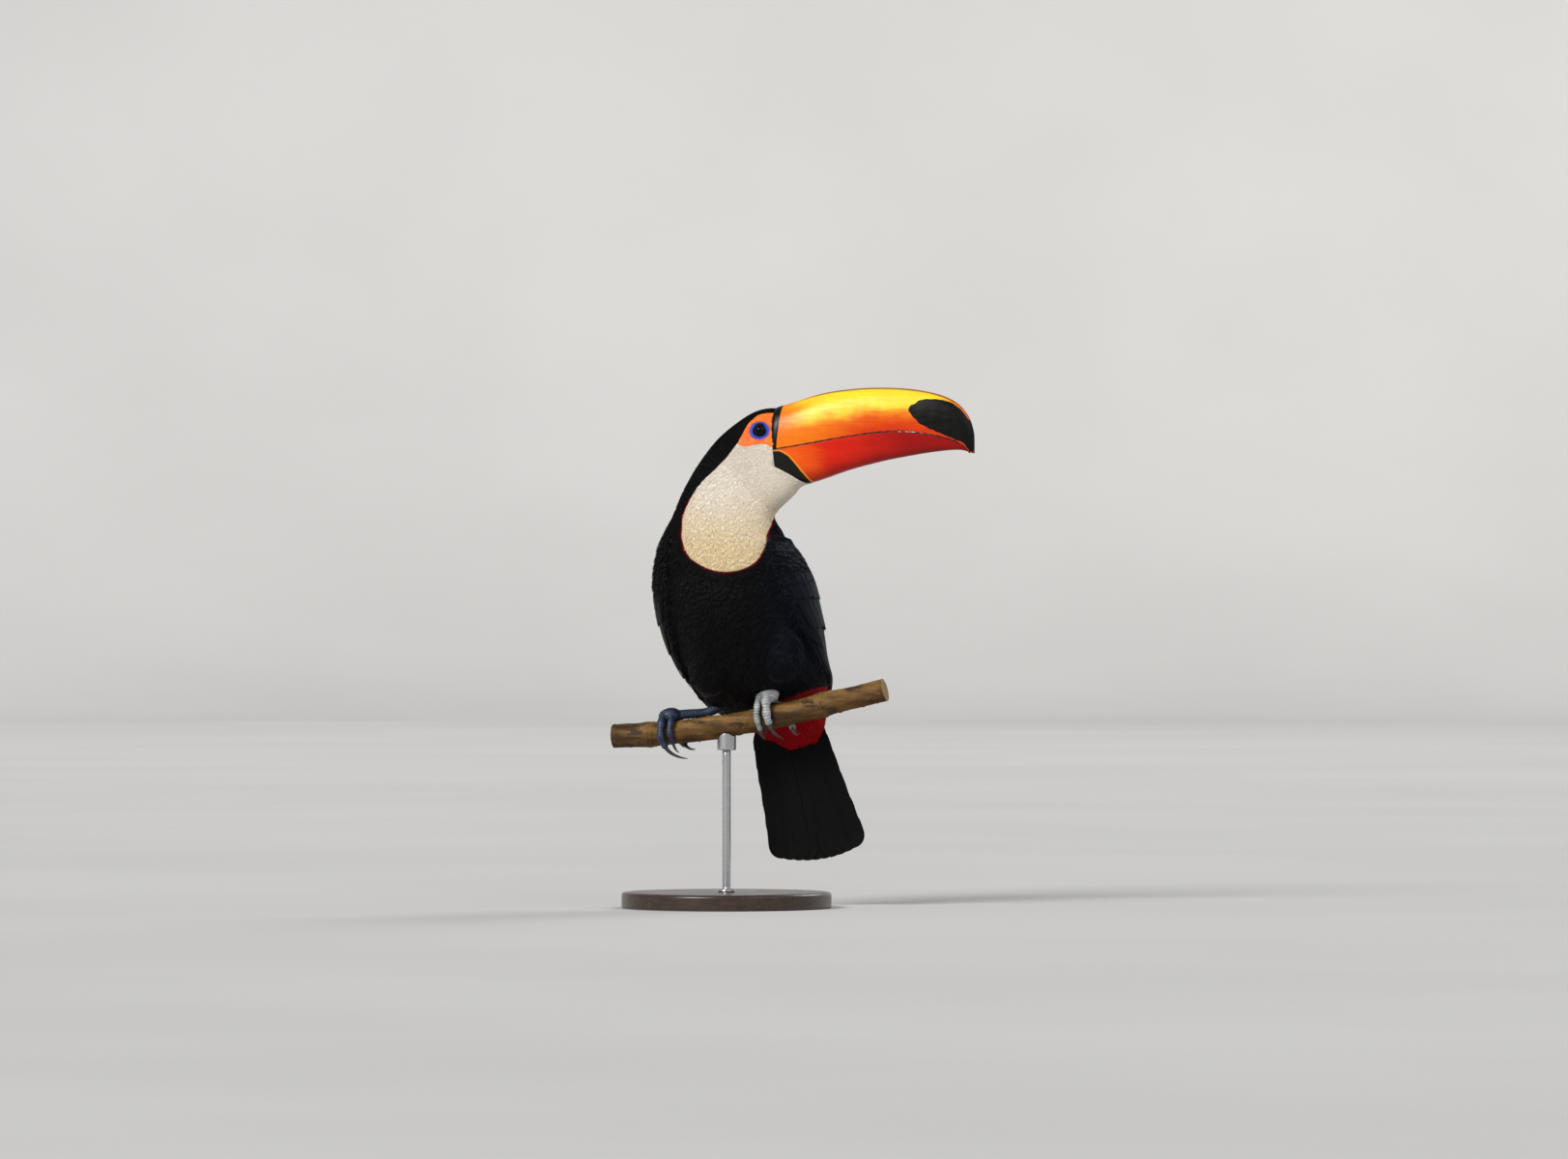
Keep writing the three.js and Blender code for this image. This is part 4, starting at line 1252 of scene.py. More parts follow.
@dataclass
class Bill:
    """The great arched bill: two hollow-looking halves of solid horn, closed along a fine dark seam."""

    culmen: Pairs = (
        (40, 471.5), (49.5, 474.3), (68.5, 480), (97, 488.5), (126, 492.8), (156, 494), (186, 492.4),
        (212, 487.4), (230, 479), (240.5, 467.5), (245.6, 454), (246.5, 443), (244.5, 432))
    gonys: Pairs = (
        (40, 412), (68.5, 405), (82, 403.2), (90, 405), (99, 407.8), (126, 416.8), (156, 424.5), (186, 430.2),
        (212, 434), (231, 435.2), (241, 433.4), (244.5, 432))
    tomium: Pairs = (
        (30, 431.8), (48.5, 434.9), (87.6, 441.2), (126, 447.8), (158, 452), (183, 452.6), (207, 449.4),
        (226, 444.6), (237, 438.4), (243, 431), (248, 422))
    half_widths: Pairs = (
        (40, 20.8), (86, 19.8), (126, 17.4), (160, 14.8), (195, 11.8), (222, 9), (238, 6.4), (245, 3.4),
        (247, 1))
    tip_spot: Pairs = (
        (185, 472.5), (187.5, 478), (194, 481.6), (204, 483.6), (216, 482.8), (226, 479), (233.5, 474),
        (240, 466), (246, 458), (256, 450), (256, 436), (243, 433), (238, 441), (227, 446.2), (216, 450.4),
        (205, 455.2), (197, 460), (189, 465.5))
    base_spot: Pairs = (
        (50, 434), (54, 434.3), (61, 434.5), (66, 432), (70, 429.4), (74.5, 424.2), (78.2, 419.3),
        (83.5, 412), (88.5, 405), (92, 398), (80, 396), (50, 412))
    start: float = 50
    tip: float = 246.42
    lower_tip: float = 242.2
    stations: int = 250
    around: int = 130
    roof: int = 6
    seam_gap: float = 0.22

    def rings(self, sign: int) -> tuple[Array, Array]:
        """The rings of one half.

        Args:
            sign: 1 for the upper half, -1 for the lower.

        Returns:
            The points, stations by ring, and how far each is from the seam towards the outer edge, 0 to 1.
        """
        spread = np.sin(np.linspace(0, math.pi / 2, self.stations)) ** 0.95
        x = mix(self.start, self.tip, spread)
        outlines = (self.culmen, self.gonys, self.tomium, self.half_widths)
        top, low, seam, half = (outline_at(outline, x)[:, None] for outline in outlines)
        widest = np.clip(seam + 0.15 * (top - seam), low + 0.8, top - 0.8)
        edge = np.maximum(seam + sign * self.seam_gap, low + 0.05)
        start = np.arcsin(np.clip((edge - widest) / (widest - low), -1, 0))
        angle = mix(start, sign * math.pi - start, np.linspace(0, 1, self.around))
        cosine, sine = np.cos(angle), np.sin(angle)
        y = half * np.sign(cosine) * np.abs(cosine) ** 0.8
        z = widest + np.where(sine > 0, top - widest, widest - low) * sine
        roof_share = np.linspace(0, 1, self.roof + 2)[1:-1]
        roof_z = edge + sign * 1.4 * np.sin(np.pi * roof_share) * np.minimum(1, half / 6)
        y, z = np.hstack([y, mix(y[:, -1:], y[:, :1], roof_share)]), np.hstack([z, roof_z])
        rise = np.abs(z - edge) / np.maximum(top - edge if sign > 0 else edge - low, 0.6)
        rise[:, self.around:] = 0
        return np.stack([x[:, None] + 0 * y, y + HEAD_Y, z], axis=-1), rise.clip(0, 1)

    def half_piece(self, sign: int) -> Piece:
        """One half of the bill, its surface relief and what its finish reads.

        Args:
            sign: 1 for the upper half, -1 for the lower.

        Returns:
            The half.
        """
        points, rise = self.rings(sign)
        if sign < 0:
            kept = points[:, 0, 0] < self.lower_tip
            points, rise = points[kept], rise[kept]
        side_view = points[..., [0, 2]]
        x, ahead, band = points[..., 0], offset_from(side_view, BILL_BASE), offset_from(side_view, BAND_FRONT)
        away = unit((points - points.mean(axis=1, keepdims=True)) * (0, 1, 1))
        relief = lumps(points * (0.12, 1, 1), 2.2, 3) * 0.05 + lumps(points * (0.3, 0.6, 0.6), 9, 4) * 0.14
        relief += 0.07 * np.sin(x * 0.55 + 2.2 * lumps(points, 26, 5)) * ease(0.9, 0.3, rise)
        notches = ease(0.25, 1.0, np.sin(x * 0.8 + 3 * lumps(points, 12, 6))) * ease(0.045, 0.0, rise)
        relief -= 0.35 * notches * ease(70, 110, x) * ease(238, 220, x)
        if sign > 0:
            relief += 0.3 * ease(0.3, -0.5, band) * ease(-0.5, 0.8, ahead)
        outer = np.arange(points.shape[1]) < self.around
        tuck = ease(0.2, -5.0, ahead) * 3.4 + ease(0.2, -1.0, ahead) * 0.5
        points = points + away * (relief * outer - tuck)[..., None]
        if sign > 0:
            points[..., 2] += 0.35 * ease(0.965, 1.0, rise) * ease(244, 225, points[..., 0]) * outer
        spot = inside_of(side_view, np.array(self.tip_spot)) + 0.9 * lumps(points, 5, 8)
        base = inside_of(side_view, np.array(self.base_spot)) + 0.3 * lumps(points, 4, 9)
        far = np.full(rise.shape, -9.0)
        masks = {
            "rise": rise,
            "reach": ((points[..., 0] - 57) / 190).clip(0, 1),
            "black": share_inside(np.maximum(spot, -band) if sign > 0 else far),
            "base": share_inside((far if sign > 0 else base) / 2),
            "seam": ease(1.0, 0.35, rise * np.ptp(points[..., 2], axis=1)[:, None]),
        }
        return Piece("bill_upper_horn" if sign > 0 else "bill_lower_horn", *solid(points), masks)

    def build(self, upper: Material, lower: Material) -> None:
        """Makes both halves, each with its material."""
        self.half_piece(1).settle([upper], "bill_upper", "bill_upper")
        self.half_piece(-1).settle([lower], "bill_lower", "bill_lower")


@dataclass
class Eye:
    """One eyeball with its clear bulging front."""

    side: Side
    rings: int = 60
    around: int = 72
    bulge: float = 0.75

    def build(self, finish: Material) -> None:
        """Makes the eye.

        Args:
            finish: its material.
        """
        turn, angle = np.linspace(0.002, math.pi * 0.72, self.rings)[:, None], circle(self.around)
        radius = EYE.radius + self.bulge * bell(turn, 0, 0.55)
        out, ahead = radius * np.sin(turn) + 0 * angle, radius * np.cos(turn) + 0 * angle
        sideways = HEAD_Y + self.side.value * (EYE.spread + ahead)
        points = np.stack([EYE.x + out * np.cos(angle), sideways, EYE.z + out * np.sin(angle)], axis=-1)
        name = self.side.label
        Piece(f"eyeball_{name}", *solid(points), {"out": out}).settle([finish], "eye", f"eye_{name}")


@dataclass
class Orbit:
    """The bare skin round one eye: lids hugging the eyeball, a folded blue ring, and grainy orange skin."""

    form: BirdForm
    side: Side
    rings: int = 84
    around: int = 150

    def on_head(self, x: Array, z: Array) -> tuple[Array, Array]:
        """The head's surface at places of its side view.

        Args:
            x: how far forward.
            z: how high.

        Returns:
            The points and the surface's normals.
        """
        outer = self.form.outer
        near = outer.points[: int(self.form.row_of(4.0))]
        gap = np.hypot(near[..., 0] - EYE.x, near[..., 2] - EYE.z)
        off_side = np.abs(half_turned(self.form.degrees[: len(near)] + 90 * self.side.value)) > 60
        start = np.unravel_index(np.argmin(gap + 99 * off_side), gap.shape)
        rows, columns = self.form.find_on_face(x, z, start)
        return outer.place(rows, columns), unit(outer.read(outer.normals, rows, columns))

    def shape(self) -> Dressed:
        """The patch's skin.

        Returns:
            Its points, its faces and what its finish reads.
        """
        angle = np.linspace(-math.pi, math.pi, self.around, endpoint=False)
        reach = np.interp(np.degrees(angle), *np.array(BARE_REACH).T) + 1.4
        oval = 1 + 0.085 * np.cos(2 * angle + 0.25)
        opening, ring = EYE.opening * oval, EYE.ring * oval
        out = mix(opening, reach, np.linspace(0, 1, self.rings)[:, None] ** 1.15)
        x, z = np.minimum(EYE.x + out * np.cos(angle), 57.0), EYE.z + out * np.sin(angle)
        place, normal = self.on_head(x, z)
        ball = np.sqrt(np.maximum(EYE.radius**2 - out**2, EYE.radius**2 - EYE.opening**2))
        lid = np.abs(place[..., 1] - HEAD_Y) - EYE.spread - ball
        height = -0.3 - ease(ring + 0.6, opening, out) * (lid - 0.35).clip(0, 5)
        height += 0.16 * np.sin((out - opening) * 3.4 + 0.8 * np.sin(3 * angle)) * ease(10.5, 8.5, out)
        folds = np.sin(46 * angle + 4 * lumps(place, 7, 2))
        height += 0.05 * folds * ease(5.8, 6.8, out) * ease(9.6, 8.6, out)
        height += 0.45 * bell(out - opening, 0.55, 0.45) - 0.35 * bell(out - ring, 0.3, 0.35)
        height += (0.16 * lumps(place, 0.95, 9) + 0.2 * lumps(place, 2.6, 10)) * ease(9.4, 10.4, out)
        height += 0.13 * np.sin((out - 9) * 2.1 + 1.5 * lumps(place, 6, 12)) * ease(9.6, 11, out)
        height -= 1.7 * ease(reach - 1.2, reach, out)
        masks = {
            "blue": ease(0.25, -0.35, out - ring + 0.2 * lumps(place, 1.6, 13)),
            "margin": ease(0.9, 0.3, out - opening),
            # The groove just outside the blue ring, where the finish paints shade.
            "groove": bell(out - ring, 0.3, 0.5),
        }
        faces = tube_faces(self.rings, self.around, closed=False)
        if self.side is Side.LEFT:
            faces = [f[:, ::-1] for f in faces]
        return (place + normal * height[..., None]).reshape(-1, 3), faces, masks


# ------------------------------------------------------------------ perch, feet and legs


@dataclass
class Perch:
    """The cut length of branch: smooth bark with leaf scars, pale end grain and round edges."""

    radius: float = 11.6
    line: Pairs = ((-112, 162.9), (-68.6, 165.4), (-21, 170.6), (17.1, 176.6), (55.2, 184.3), (93.3, 193.2),
                   (128, 201.4), (156, 208))
    rows: int = 460
    around: int = 96

    def __post_init__(self) -> None:
        """Runs the branch's middle line."""
        self.path = Strand([(x, 0, z) for x, z in self.line])

    def radius_at(self, share: Array) -> Array:
        """The perch's radius along it, from 0 to 1."""
        scars = 0.7 * bell(share, 0.13, 0.035) + 1.1 * bell(share, 0.76, 0.035)
        return self.radius - 0.5 * share + scars + 0.25 * np.sin(19 * share) * np.sin(7 * share + 1)

    def share_at(self, x: Array | float) -> Array:
        """How far along the perch, from 0 to 1, it passes a given x."""
        return np.interp(x, self.path.points[:, 0], self.path.run) / self.path.length

    def round_it(self, x: float, shift: float, angle: float, height: float) -> Array:
        """A place round the perch.

        Args:
            x: the foot's place along the perch.
            shift: how much farther along it lies.
            angle: the angle from the perch's top, towards its front.
            height: the height off its bark.

        Returns:
            The point.
        """
        share = self.share_at(x) + shift / self.path.length
        up = unit(np.cross(FRONT, self.path.heading(share)[0]))
        out = up * math.cos(angle) + FRONT * math.sin(angle)
        return self.path.at(share)[0] + out * (self.radius_at(share) + height)

    def build(self, bark: Material, end_grain: Material) -> None:
        """Makes the branch.

        Args:
            bark: the material of its side.
            end_grain: the material of its sawn ends.
        """
        cap, bevel = np.array([0.02, 0.2, 0.4, 0.6, 0.78, 0.9, 0.965]), np.array([0.0, 0.35, 0.8])
        length = self.path.length
        middle = np.linspace(1.4, length - 1.4, self.rows) / length
        share = np.concatenate([0 * cap, bevel / length, middle, 1 - bevel[::-1] / length, 1 + 0 * cap])
        edge = np.array([0.972, 0.988, 0.997])
        scale = np.concatenate([cap, edge, 1 + 0 * middle, edge[::-1], cap[::-1]])[:, None]
        is_cap = (share <= 0) | (share >= 1)
        centre, along = self.path.at(share)[:, None], self.path.heading(share)[:, None]
        angle = circle(self.around)
        out = np.cos(angle)[:, None] * unit(np.cross(FRONT, along)) + np.sin(angle)[:, None] * FRONT
        share = share[:, None]
        base = centre + out * self.radius_at(share)[..., None]
        relief = lumps(base * (0.2, 1, 1), 2.4, 1) * 0.32 + lumps(base * (0.4, 1, 1), 7, 2) * 0.55
        cracks = ease(0.1, 0.0, np.abs(lumps(base * (0.1, 1, 1), 3.6, 3)))
        relief -= 0.5 * cracks * ease(0.1, 0.6, lumps(base, 22, 4))
        relief += 0.6 * ease(0.45, 0.8, lumps(base * (1.0, 0.8, 0.8), 2.4, 5))
        for place, turn in ((0.13, 1.0), (0.145, 1.2), (0.76, 4.2), (0.772, 4.4)):
            relief += 0.5 * bell((share - place) * length, 1.3 * np.cos(angle - turn), 0.7)
        for place, turn, size in ((0.137, 1.1, 1.5), (0.766, 0.9, 1.2), (0.45, 3.6, 0.9)):
            relief += size * bell((share - place) * length, 0, 4.2) * bell(np.cos(angle - turn), 1, 0.06)
        radius = (self.radius_at(share) + relief * ease(0.9, 1.0, scale)) * scale - 0.3
        nicks = 0.18 * lumps(base, 1.4, 6) + 0.12 * np.sin(scale * 50)
        nicks *= np.where(share <= 0, -1.0, 1.0) * is_cap[:, None]
        rings = centre + out * radius[..., None] + along * nicks[..., None]
        # 'top' is 1 along the perch's upper side, where the bark is painted lighter, and 'relief' also sets
        # the bark's painted shade in its hollows.
        masks = {"ring": radius.mean(axis=1, keepdims=True) + 0 * radius,
                 "relief": (relief * 0.6 + 0.5).clip(0, 1),
                 "top": 0.5 + 0.5 * np.cos(angle) + 0 * radius}
        finish = np.concatenate([np.repeat(is_cap[:-1] | is_cap[1:], self.around), [True, True]]).astype(int)
        piece = Piece("perch_branch", *solid(rings), masks, face_finish=finish)
        piece.settle([bark, end_grain], "bark", "perch")


@dataclass(frozen=True)
class Toe:
    """A toe bent round the perch: stations of angle from its top, shift along it, and height off its bark."""

    radius: float
    drift: float
    front: bool
    line: tuple[Triple, ...]

    def path(self, perch: Perch, foot: float) -> Strand:
        """The toe's centre line.

        Args:
            perch: what it grips.
            foot: the foot's x.

        Returns:
            The line, root to tip.
        """
        turn = math.radians(1 if self.front else -1)
        return Strand([perch.round_it(foot, shift, turn * angle, height + 0.85 * self.radius)
                       for angle, shift, height in self.line], tension=0.6)

    def radius_at(self, share: Array) -> Array:
        """The toe's radius along it: padded under each joint and rounded at its end."""
        end = np.sqrt(np.clip((1.03 - share) * 9, 0.25, 1))
        return self.radius * (0.95 - 0.22 * share + 0.1 * np.cos(6 * math.pi * share)) * end

    def claw(self, perch: Perch, foot: float) -> Strand:
        """The claw's centre line, from inside the toe's end.

        Args:
            perch: what the toe grips.
            foot: the foot's x.

        Returns:
            The line, root to tip.
        """
        path = self.path(perch, foot)
        tip, ahead = path.at(1.0)[0], path.heading(1.0)[0]
        axis = sum(perch.round_it(foot, self.line[-1][1], angle, 0) for angle in (0, math.pi)) / 2
        inwards = unit(axis - tip - ahead * ((axis - tip) @ ahead))
        length, bend = 3.9 * self.radius, 1.2
        share = np.array([0, 0.25, 0.5, 0.75, 1])
        curve = np.outer(0.6 + length * np.sin(bend * share) / bend, ahead)
        curve += np.outer(0.6 * length * (1 - np.cos(bend * share)) / bend, inwards)
        return Strand(tip + np.vstack([ahead * -1.6, curve + np.outer(self.drift * share**1.6, (1, 0, 0))]))


TOE_NUMBERS = (1, 2, 3, 4)
TOES = {
    Side.LEFT: (
        Toe(3, -2, False, ((14, -4, 4), (40, -6, 1), (75, -8, 0.3), (118, -9, 0.3))),
        Toe(3.6, 1, True, ((18, -5, 9), (48, -8, 3), (85, -10, 0.5), (136, -10, 0.5))),
        Toe(4.8, 7, True, ((18, 2.5, 11), (48, 1.6, 4), (85, 0.5, 0.6), (118, 1, 0.6))),
        Toe(4.4, 4, False, ((14, 4.4, 4), (45, 7, 1), (95, 13, 0.3), (174, 18, 0.6))),
    ),
    Side.RIGHT: (
        Toe(3, 2, False, ((14, 4, 3), (40, 6, 1), (75, 8, 0.3), (118, 9, 0.3))),
        Toe(3.6, 2, True, ((16, 4.6, 3.5), (42, 3.6, 1.5), (85, 2, 0.5), (134, 3, 0.5))),
        Toe(4.4, 12, True, ((16, -4, 4), (42, -5.6, 1.8), (88, -7, 0.5), (116, -6.5, 1), (140, -3.5, 4))),
        Toe(3.8, 2, False, ((14, -4.6, 3), (45, -6, 1), (95, -4, 0.3), (160, 11, 0.5))),
    ),
}


def fused(points: Array, faces: Faces, grain: float) -> tuple[Array, Array]:
    """Several overlapping closed shapes melted into one.

    Args:
        points: their points.
        faces: their faces.
        grain: how fine the new surface is.

    Returns:
        Its points and its four-sided faces.
    """
    rough = Piece("melting", points, faces).make([])
    melt = rough.modifiers.new("melt", "REMESH")
    melt.mode = "VOXEL"
    melt.voxel_size = grain * MM
    made = rough.evaluated_get(bpy.context.evaluated_depsgraph_get()).to_mesh()
    new_points = np.empty(len(made.vertices) * 3)
    made.vertices.foreach_get("co", new_points)
    corners = np.empty(len(made.loops), dtype=np.int64)
    made.loops.foreach_get("vertex_index", corners)
    rough.to_mesh_clear()
    bpy.data.objects.remove(rough)
    return new_points.reshape(-1, 3) / MM, corners.reshape(-1, 4)


def gathered(places: Array, values: Array, count: int) -> Array:
    """Adds up rows of values by the place that each belongs to.

    Args:
        places: each row's place.
        values: the rows.
        count: how many places there are.

    Returns:
        The sum at each place.
    """
    return np.stack([np.bincount(places, column, minlength=count) for column in values.T], axis=-1)


def relaxed(points: Array, quads: Array, passes: int) -> Array:
    """Eases points towards their neighbours.

    Args:
        points: the points.
        quads: the four-sided faces between them.
        passes: how many times.

    Returns:
        The new points.
    """
    beside = np.roll(quads, -1, axis=1)
    ends, others = (np.concatenate(pair).ravel() for pair in ((quads, beside), (beside, quads)))
    count = np.maximum(np.bincount(ends, minlength=len(points)), 1)[:, None]
    for _ in range(passes):
        points = mix(points, gathered(ends, points[others], len(points)) / count, 0.5)
    return points


@dataclass
class Foot:
    """One bare foot: shank, palm and four toes in overlapping scutes, with their claws."""

    side: Side
    perch: Perch
    place: float
    palm_shift: float
    palm_size: Triple
    palm_forward: float
    palm_height: float
    shank: tuple[Triple, ...]
    shank_radius: float = 4.4
    grain: float = 0.46

    def palm(self) -> Shape:
        """The ball of the foot.

        Returns:
            Its points and faces.
        """
        turn = np.linspace(0.05, math.pi - 0.05, 24)
        ball = turned(np.stack([np.sin(turn), np.cos(turn)], axis=-1), 36) * self.palm_size
        centre = self.perch.round_it(self.place, self.palm_shift, 0, self.palm_height)
        tilt = np.array(Matrix.Rotation(0.2, 3, "Y"))
        return ball.reshape(-1, 3) @ tilt + centre - (0, self.palm_forward, 0), tube_faces(24, 36)

    def shape(self) -> Dressed:
        """The foot's scaled skin.

        Returns:
            Its points, its faces and what its finish reads.
        """
        parts, share = [], np.linspace(0, 1, 60)
        for toe in TOES[self.side]:
            path = toe.path(self.perch, self.place)
            parts.append(solid(ringed(path, toe.radius_at(share) + 0.22, share, 24, self.away(path), 0.96)))
        share = np.linspace(0, 1, 50)
        thick = self.shank_radius * (1 + 0.15 * (2 * share - 1) ** 2) + 0.15
        parts.append(solid(ringed(Strand(self.shank), thick, share, 24, np.array([0.0, 0.3, 1.0]))))
        points, quads = fused(*merged([*parts, self.palm()]), self.grain)
        return self.scaled(relaxed(points, quads, 7), quads)

    def away(self, path: Strand) -> Array:
        """The direction away from the perch's axis at a toe's middle."""
        middle = path.at(0.5)[0]
        return unit(middle - self.perch.path.at(self.perch.share_at(middle[0]))[0])

    def scaled(self, points: Array, quads: Array) -> Dressed:
        """Raises the scutes on the upper side and the small scales below.

        Args:
            points: the plain foot's points.
            quads: its faces.

        Returns:
            Points, faces and what the finish reads.
        """
        a, b, c, d = (points[quads[:, k]] for k in range(4))
        normals = unit(gathered(quads.ravel(), np.repeat(np.cross(c - a, d - b), 4, axis=0), len(points)))
        shank = Strand(self.shank)
        lines = [(toe.path(self.perch, self.place), 2.1 + 0.1 * toe.radius) for toe in TOES[self.side]]
        nearest, run, pitch, upper = np.outer((1e9, 0, 1, 0), np.ones(len(points)))
        for path, scute in [*lines, (shank, 3.0)]:
            fine = path.at(np.linspace(0, 1, 140))
            apart = np.linalg.norm(points[:, None] - fine[None], axis=-1)
            index, reach = apart.argmin(axis=1), apart.min(axis=1)
            closer = reach < nearest
            on_toe = fine - self.perch.path.at(self.perch.share_at(fine[:, 0]))
            dorsal = unit(np.tile((0.0, -1.0, 0.5), (140, 1)) if path is shank else on_toe)[index]
            here = (reach, index / 139 * path.length, scute, (dorsal * normals).sum(axis=1))
            nearest, run, pitch, upper = map(partial(np.where, closer), here, (nearest, run, pitch, upper))
        phase = (run / pitch + 0.06 * lumps(points, 3, 2)) % 1.0
        ridge, scute = np.abs(2 * phase - 1), ease(-0.15, 0.3, upper)
        beads = 0.16 * lumps(points, 1.1, 4) + 0.1 * lumps(points, 0.7, 5)
        height = scute * (0.26 * (1 - ridge**5) + 0.14 * phase - 0.3) + (1 - scute) * beads - 0.05
        gap = scute * ease(0.72, 0.98, ridge) + (1 - scute) * ease(0.0, -0.6, beads * 6)
        # Painted light: 1 on the left foot, which gets the sunlit pale copy of the scutes' colour, and 0 on
        # the right foot, which gets the shaded dark copy.
        pale = np.full(len(points), float(self.side is Side.LEFT))
        masks = {"gap": gap, "wear": ease(0.1, 0.9, phase) * scute, "pale": pale}
        return points + normals * height[:, None], [quads], masks

    def build_claws(self, finish: Material) -> None:
        """Makes the claws.

        Args:
            finish: their material.
        """
        share = np.linspace(0, 1, 44)
        parts = []
        for toe in TOES[self.side]:
            away = self.away(toe.path(self.perch, self.place))
            thick = toe.radius * 0.55 * (1 - share) ** 0.7 + 0.12
            parts.append(solid(ringed(toe.claw(self.perch, self.place), thick, share, 24, away, 0.82)))
        points, faces = merged(parts)
        points = points + 0.04 * np.stack([lumps(points * 0.5, 0.5, 3 + k) for k in range(3)], axis=-1)
        name = self.side.label
        piece = Piece(f"claws_{name}", points, faces, {"along": np.tile(np.repeat(share, 24), len(parts))})
        piece.settle([finish], "claw_horn", *(f"claw_{n}_{name}" for n in TOE_NUMBERS))


FEET = (
    (Side.LEFT, 44, 1.5, (12, 10, 10), 4, 10.5, ((56, 10, 224), (52, 6, 214), (47, 1, 206), (44, -2, 201))),
    (Side.RIGHT, -54, 0, (11, 9.5, 7.5), 2, 5,
     ((-6, 14, 193), (-22, 9, 186), (-38, 4, 184.5), (-54, -1, 183))),
)


@dataclass(frozen=True)
class Thigh:
    """One thigh, as the curve and radii of its feathered outside."""

    side: Side
    line: tuple[Triple, ...]
    radii: Triple
    coat_depth: float = 2.2

    def skin(self) -> Surface:
        """The skin below its feathers.

        Returns:
            The closed surface.
        """
        share = np.linspace(0, 1, 60)
        radius = curve_through(np.array(self.radii)[:, None], share * 2)[:, 0]
        radius = radius * np.sqrt(np.maximum(0.12, 1 - np.maximum(1 - 2 * share, 0) ** 8)) - self.coat_depth
        return Surface(ringed(Strand(self.line), radius, share, 64, np.array([0.0, -1.0, 0.2])))


@dataclass(frozen=True)
class Undertail:
    """The coverts before the tail's root, in sections: height, middle, half width, front and back."""

    sections: tuple[tuple[float, ...], ...] = (
        (-84, 8, 30, 32, 52), (-91, 8, 32, 33, 52.5), (-98, 8, 30, 36, 53), (-104, 9, 26, 39, 53),
        (-108, 10, 21, 42, 53), (-111, 12, 15, 45, 53), (-113, 15, 8, 48, 53))

    def skin(self) -> Surface:
        """The skin below them.

        Returns:
            The closed surface.
        """
        height, middle, half, front, back = fine_curve(self.sections, 44).T[..., None]
        angle = circle(64)
        deep = (front + back) / 2 - (back - front) / 2 * np.sin(angle)
        return Surface(on_trunk(middle + half * np.cos(angle), deep, height))


@dataclass
class Fluff:
    """Loose tufts over a closed skin of their own."""

    name: str
    skin: Surface
    red: bool = False
    spacing: float = 2.3
    length: Pair = (9, 13)
    blades: int = 4
    half: float = 1.9
    overhang: float = 4.0
    kinds: int = 4
    seed: int = 40

    def build(self, finish: Material) -> None:
        """Makes the tufts.

        Args:
            finish: the plumage's material.
        """
        rng, skin = np.random.default_rng(self.seed), self.skin
        rows, columns = skin.scatter(self.spacing, np.ones((skin.rows, skin.columns)), rng)
        kept = skin.room(rows, columns) > 1.5
        if self.red:
            kept &= np.sin(columns / skin.columns * 2 * math.pi) > -0.35
        rows, columns = rows[kept], columns[kept]
        count = len(rows)
        length = np.minimum(rng.uniform(*self.length, count), skin.room(rows, columns) + self.overhang)
        spines = skin.run(rows, columns, rng.normal(0, 0.15, count), length, rng.normal(0, 0.15, count))
        coat = Coat(skin, np.tile((0.0, float(self.red)), (skin.rows, skin.columns, 1)))
        kind = rng.integers(0, self.kinds, count)
        for variant in range(self.kinds):
            mine = kind == variant
            coat.lay(spines.kept(mine), Vane.blades(self.blades, rng), self.half, 0.24, -0.2,
                     rng.uniform(1.0, 1.8, mine.sum()), rng.random(mine.sum()))
        coat.piece(f"feathers_{self.name}").settle([finish], "plumage_red" if self.red else "plumage_black")


THIGHS = (
    Thigh(Side.LEFT, ((66, -26, 252), (60, -24, 236), (54, -10, 219)), (22, 21, 8.6)),
    Thigh(Side.RIGHT, ((0, -30, 240), (-8, -25, 224), (-17, -8, 207)), (22, 21, 9)),
)


@dataclass
class Skin:
    """The bird's one skin, from the face to the toes, below the feathers and bare where they leave it."""

    form: BirdForm
    orbits: list[Orbit]
    fluffs: list[Fluff]
    feet: list[Foot]
    step: int = 2
    replaced: tuple[str, ...] = (
        "head", "neck", "trunk", "undertail_coverts", "uppertail_coverts", "wing_left", "wing_right",
        "thigh_left", "thigh_right", "tarsus_left", "tarsus_right",
        *(f"toe_{n}_{side.label}" for n in TOE_NUMBERS for side in Side),
    )

    def build(self, feathered: Material, bare: Material, scaled: Material) -> None:
        """Makes the skin.

        Args:
            feathered: the finish of the skin under feathers.
            bare: the finish round the eyes.
            scaled: the finish of the feet.
        """
        step = self.step
        white, red = np.moveaxis(self.form.marks.inks[::step, ::step], -1, 0)
        sheets = [(*solid(self.form.skin.points[::step, ::step]), {"white": white, "red": red}, 0)]
        sheets += [(*orbit.shape(), 1) for orbit in self.orbits]
        for fluff in self.fluffs:
            rings = fluff.skin.points
            sheets.append((*solid(rings), {"red": np.full(rings.shape[:2], float(fluff.red))}, 0))
        sheets += [(*foot.shape(), 2) for foot in self.feet]
        points, faces = merged([(p, f) for p, f, _, _ in sheets])
        names = sorted({name for _, _, masks, _ in sheets for name in masks})
        masks = {name: np.concatenate([m.get(name, np.zeros(len(p))).ravel() for p, _, m, _ in sheets])
                 for name in names}
        finish = np.concatenate([np.full(len(f), kind) for _, fs, _, kind in sheets for f in fs])
        piece = Piece("skin", points, faces, masks, face_finish=finish)
        piece.settle([feathered, bare, scaled], "face_skin", *self.replaced)


